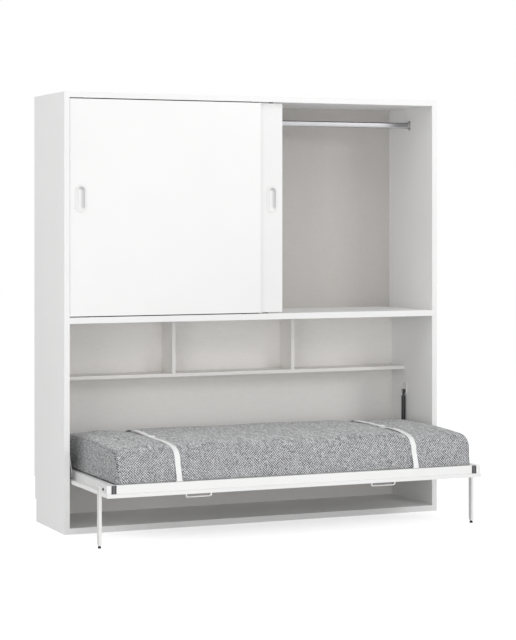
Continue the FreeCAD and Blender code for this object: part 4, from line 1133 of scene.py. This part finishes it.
def ladder_buckle(name, centre_x, centre_y, line):
    """White ladder buckle: a rounded frame with a bar, lying on the strap."""
    near = min(line, key=lambda point: abs(point[0] - centre_y))
    ahead = min(line, key=lambda point: abs(point[0] - centre_y - 0.02))
    tilt = atan2(ahead[1] - near[1], ahead[0] - near[0])
    half, reach, bar = (STRAP_WIDTH + BUCKLE_LAP) / 2, BUCKLE_DEPTH / 2, BUCKLE_BAR
    inner = half - bar
    work = bmesh.new()
    for x0, x1, y0, y1, rise, share in (
            (-half, -inner, -reach, reach, 0.0, 1.0), (inner, half, -reach, reach, 0.0, 1.0),
            (-inner, inner, -reach, bar - reach, 0.0006, 0.8),
            (-inner, inner, reach - bar, reach, 0.0006, 0.8),
            (-inner, inner, -bar / 2, bar / 2, 0.0012, 0.6)):
        slab(work, (x0, y0, rise), (x1, y1, rise + bar * share))
    rounded(work, work.edges[:], BUCKLE_EDGE, 3)
    above = near[1] + sizes().strap_thickness + SEWN_GAP
    spot = Matrix.Translation((centre_x, near[0], above)) @ Matrix.Rotation(tilt, 4, "X")
    bmesh.ops.transform(work, matrix=spot, verts=work.verts)
    return new_piece(name, work, "white_plastic", "bed",
                     smooth=True, even=True)


class WALLBED_OT_straps(Operator):
    """Builds the two straps with their hems, loose tails, buckles and loops"""

    bl_idname = "wall_bed.straps"
    bl_label = "Straps"

    def execute(self, context):
        thickness = sizes().strap_thickness
        front, rear = bar_places()
        low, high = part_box("strap_buckles")
        buckle_y = (low.y + high.y) / 2
        for side, sign in (("left", -1), ("right", 1)):
            centre_x = sign * strap_middle
            line = strap_line(side)
            path = hem_turn(*front, -1) + line + hem_turn(*rear, 1)[::-1]
            strap = band("strap_" + side, path, centre_x, thickness)
            chosen = [point for point in line if TAIL_START < point[0] - buckle_y < TAIL_REACH]
            path = [(y, z + SEWN_GAP + hump(y - buckle_y, -HUMP_REACH, HUMP_REACH, TAIL_HUMP)
                     + TAIL_RISE * k / len(chosen))
                    for k, (y, z) in enumerate(offset_line(chosen, thickness + SEWN_GAP))]
            tail = band("strap_tail_" + side, path, centre_x, thickness)
            loop = wire_loop("strap_loop_front_" + side, centre_x, *front)
            wire_loop("strap_loop_rear_" + side, centre_x, *rear)
            buckle = ladder_buckle("strap_buckle_" + side, centre_x, buckle_y, line)
            if side == "left":
                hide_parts("straps")
                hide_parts("strap_loops")
                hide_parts("strap_buckles")
        return {"FINISHED"}


# Stage

FLOOR_SIZE = 30.0
FLOOR_DROP = 0.0004
LAMPS = {
    "front_light": ((-0.8, -7.6, 1.1), (0.0, 0.0, 0.9), 4.5, 2.0, 71.0),
    "fill_light": ((-5.2, -5.0, 1.6), (0.0, 0.0, 1.2), 2.5, 2.5, 57.0),
    "key_light": ((3.6, -5.4, 3.4), (0.0, 0.0, 1.0), 1.8, 1.8, 67.0),
    "top_light": ((0.3, -2.8, 4.6), (0.0, -0.4, 0.6), 3.5, 2.0, 32.0),
    "side_light": ((-6.3, -0.9, 4.4), (-1.0, 0.0, 1.5), 3.0, 3.0, 72.0),
}
CAMERA_PLACE = (-3.9715, -9.5421, 1.5617)
CAMERA_TURN = radians(23.147)
LENS = {"lens": 111.6, "sensor_width": 36.0, "shift_y": -0.163, "clip_end": 100.0}


def set_up(name, data, spot, look):
    """Lamp or camera at a place, looking along a direction."""
    holder = bpy.data.objects.new(name, data)
    bpy.context.scene.collection.objects.link(holder)
    holder.location = spot
    holder.rotation_mode = "QUATERNION"
    holder.rotation_quaternion = look.to_track_quat("-Z", "Y")
    return holder


def softbox(name, spot, target, width, height, power):
    """Rectangular area lamp that looks at a point."""
    lamp = bpy.data.lights.new(name, "AREA")
    lamp.shape = "RECTANGLE"
    lamp.size, lamp.size_y, lamp.energy = width, height, power
    set_up(name, lamp, spot, Vector(target) - Vector(spot))


def white_world():
    """World that lights softly and shows white to the camera and in reflections."""
    world = bpy.data.worlds.new("studio")
    bpy.context.scene.world = world
    world.use_nodes = True
    tree = world.node_tree
    lit = tree.nodes["Background"]
    fill(tree, lit, {"Color": 1.0, "Strength": 0.54})
    shown = add(tree, "ShaderNodeBackground", {"Color": 1.0, "Strength": 1.0})
    ray = add(tree, "ShaderNodeLightPath", {}).outputs
    seen = maths(tree, "MAXIMUM", ray["Is Camera Ray"], ray["Is Transmission Ray"])
    seen = maths(tree, "MAXIMUM", seen, maths(tree, "MULTIPLY", ray["Is Glossy Ray"], 0.7))
    mix = add(tree, "ShaderNodeMixShader", {0: seen, 1: lit.outputs[0], 2: shown.outputs[0]})
    fill(tree, tree.nodes["World Output"], {"Surface": mix.outputs[0]})


class WALLBED_OT_stage(Operator):
    """Sets the floor, the lights, the white backdrop and the camera"""

    bl_idname = "wall_bed.stage"
    bl_label = "Stage"

    def execute(self, context):
        scene = context.scene
        scene.view_settings.view_transform = "Standard"
        work = bmesh.new()
        work.faces.new([work.verts.new((x * FLOOR_SIZE, y * FLOOR_SIZE, -FLOOR_DROP))
                        for x, y in ((-1, -1), (1, -1), (1, 1), (-1, 1))])
        new_object("floor", work, "pale_floor")
        white_world()
        for name, lamp in LAMPS.items():
            softbox(name, *lamp)
        lens = bpy.data.cameras.new("camera")
        for key, value in LENS.items():
            setattr(lens, key, value)
        scene.camera = set_up("camera", lens, CAMERA_PLACE,
                              Vector((sin(CAMERA_TURN), cos(CAMERA_TURN), 0.0)))
        return {"FINISHED"}


OPERATORS = (WALLBED_OT_boards, WALLBED_OT_frame_steel, WALLBED_OT_legs, WALLBED_OT_springs,
             WALLBED_OT_fittings, WALLBED_OT_pulls, WALLBED_OT_handles, WALLBED_OT_plugs,
             WALLBED_OT_mattress, WALLBED_OT_straps, WALLBED_OT_stage)


class WALLBED_PT_panel(Panel):
    """Sidebar panel with the sizes, colours and operators of the wall bed"""

    bl_idname = "WALLBED_PT_panel"
    bl_label = "Wall Bed"
    bl_space_type = "VIEW_3D"
    bl_region_type = "UI"
    bl_category = "Wall Bed"

    def draw(self, context):
        layout = self.layout
        for group in (context.scene.wall_bed_sizes, context.scene.wall_bed_colours):
            box = layout.box()
            for name in group.__annotations__:
                box.prop(group, name)
        for operator in OPERATORS:
            layout.operator(operator.bl_idname)


CLASSES = (WallBedSizes, WallBedColours) + OPERATORS + (WALLBED_PT_panel,)


def register():
    """Registers the classes and their settings."""
    for item in CLASSES:
        bpy.utils.register_class(item)
    bpy.types.Scene.wall_bed_sizes = PointerProperty(type=WallBedSizes)
    bpy.types.Scene.wall_bed_colours = PointerProperty(type=WallBedColours)


def unregister():
    """Takes the classes and their settings away."""
    del bpy.types.Scene.wall_bed_colours
    del bpy.types.Scene.wall_bed_sizes
    for item in reversed(CLASSES):
        bpy.utils.unregister_class(item)


def main():
    """Builds the whole bed."""
    register()
    bpy.ops.wall_bed.boards()
    bpy.ops.wall_bed.frame_steel()
    bpy.ops.wall_bed.legs()
    bpy.ops.wall_bed.springs()
    bpy.ops.wall_bed.fittings()
    bpy.ops.wall_bed.pulls()
    bpy.ops.wall_bed.handles()
    bpy.ops.wall_bed.plugs()
    bpy.ops.wall_bed.mattress()
    bpy.ops.wall_bed.straps()
    bpy.ops.wall_bed.stage()


if __name__ == "__main__":
    main()
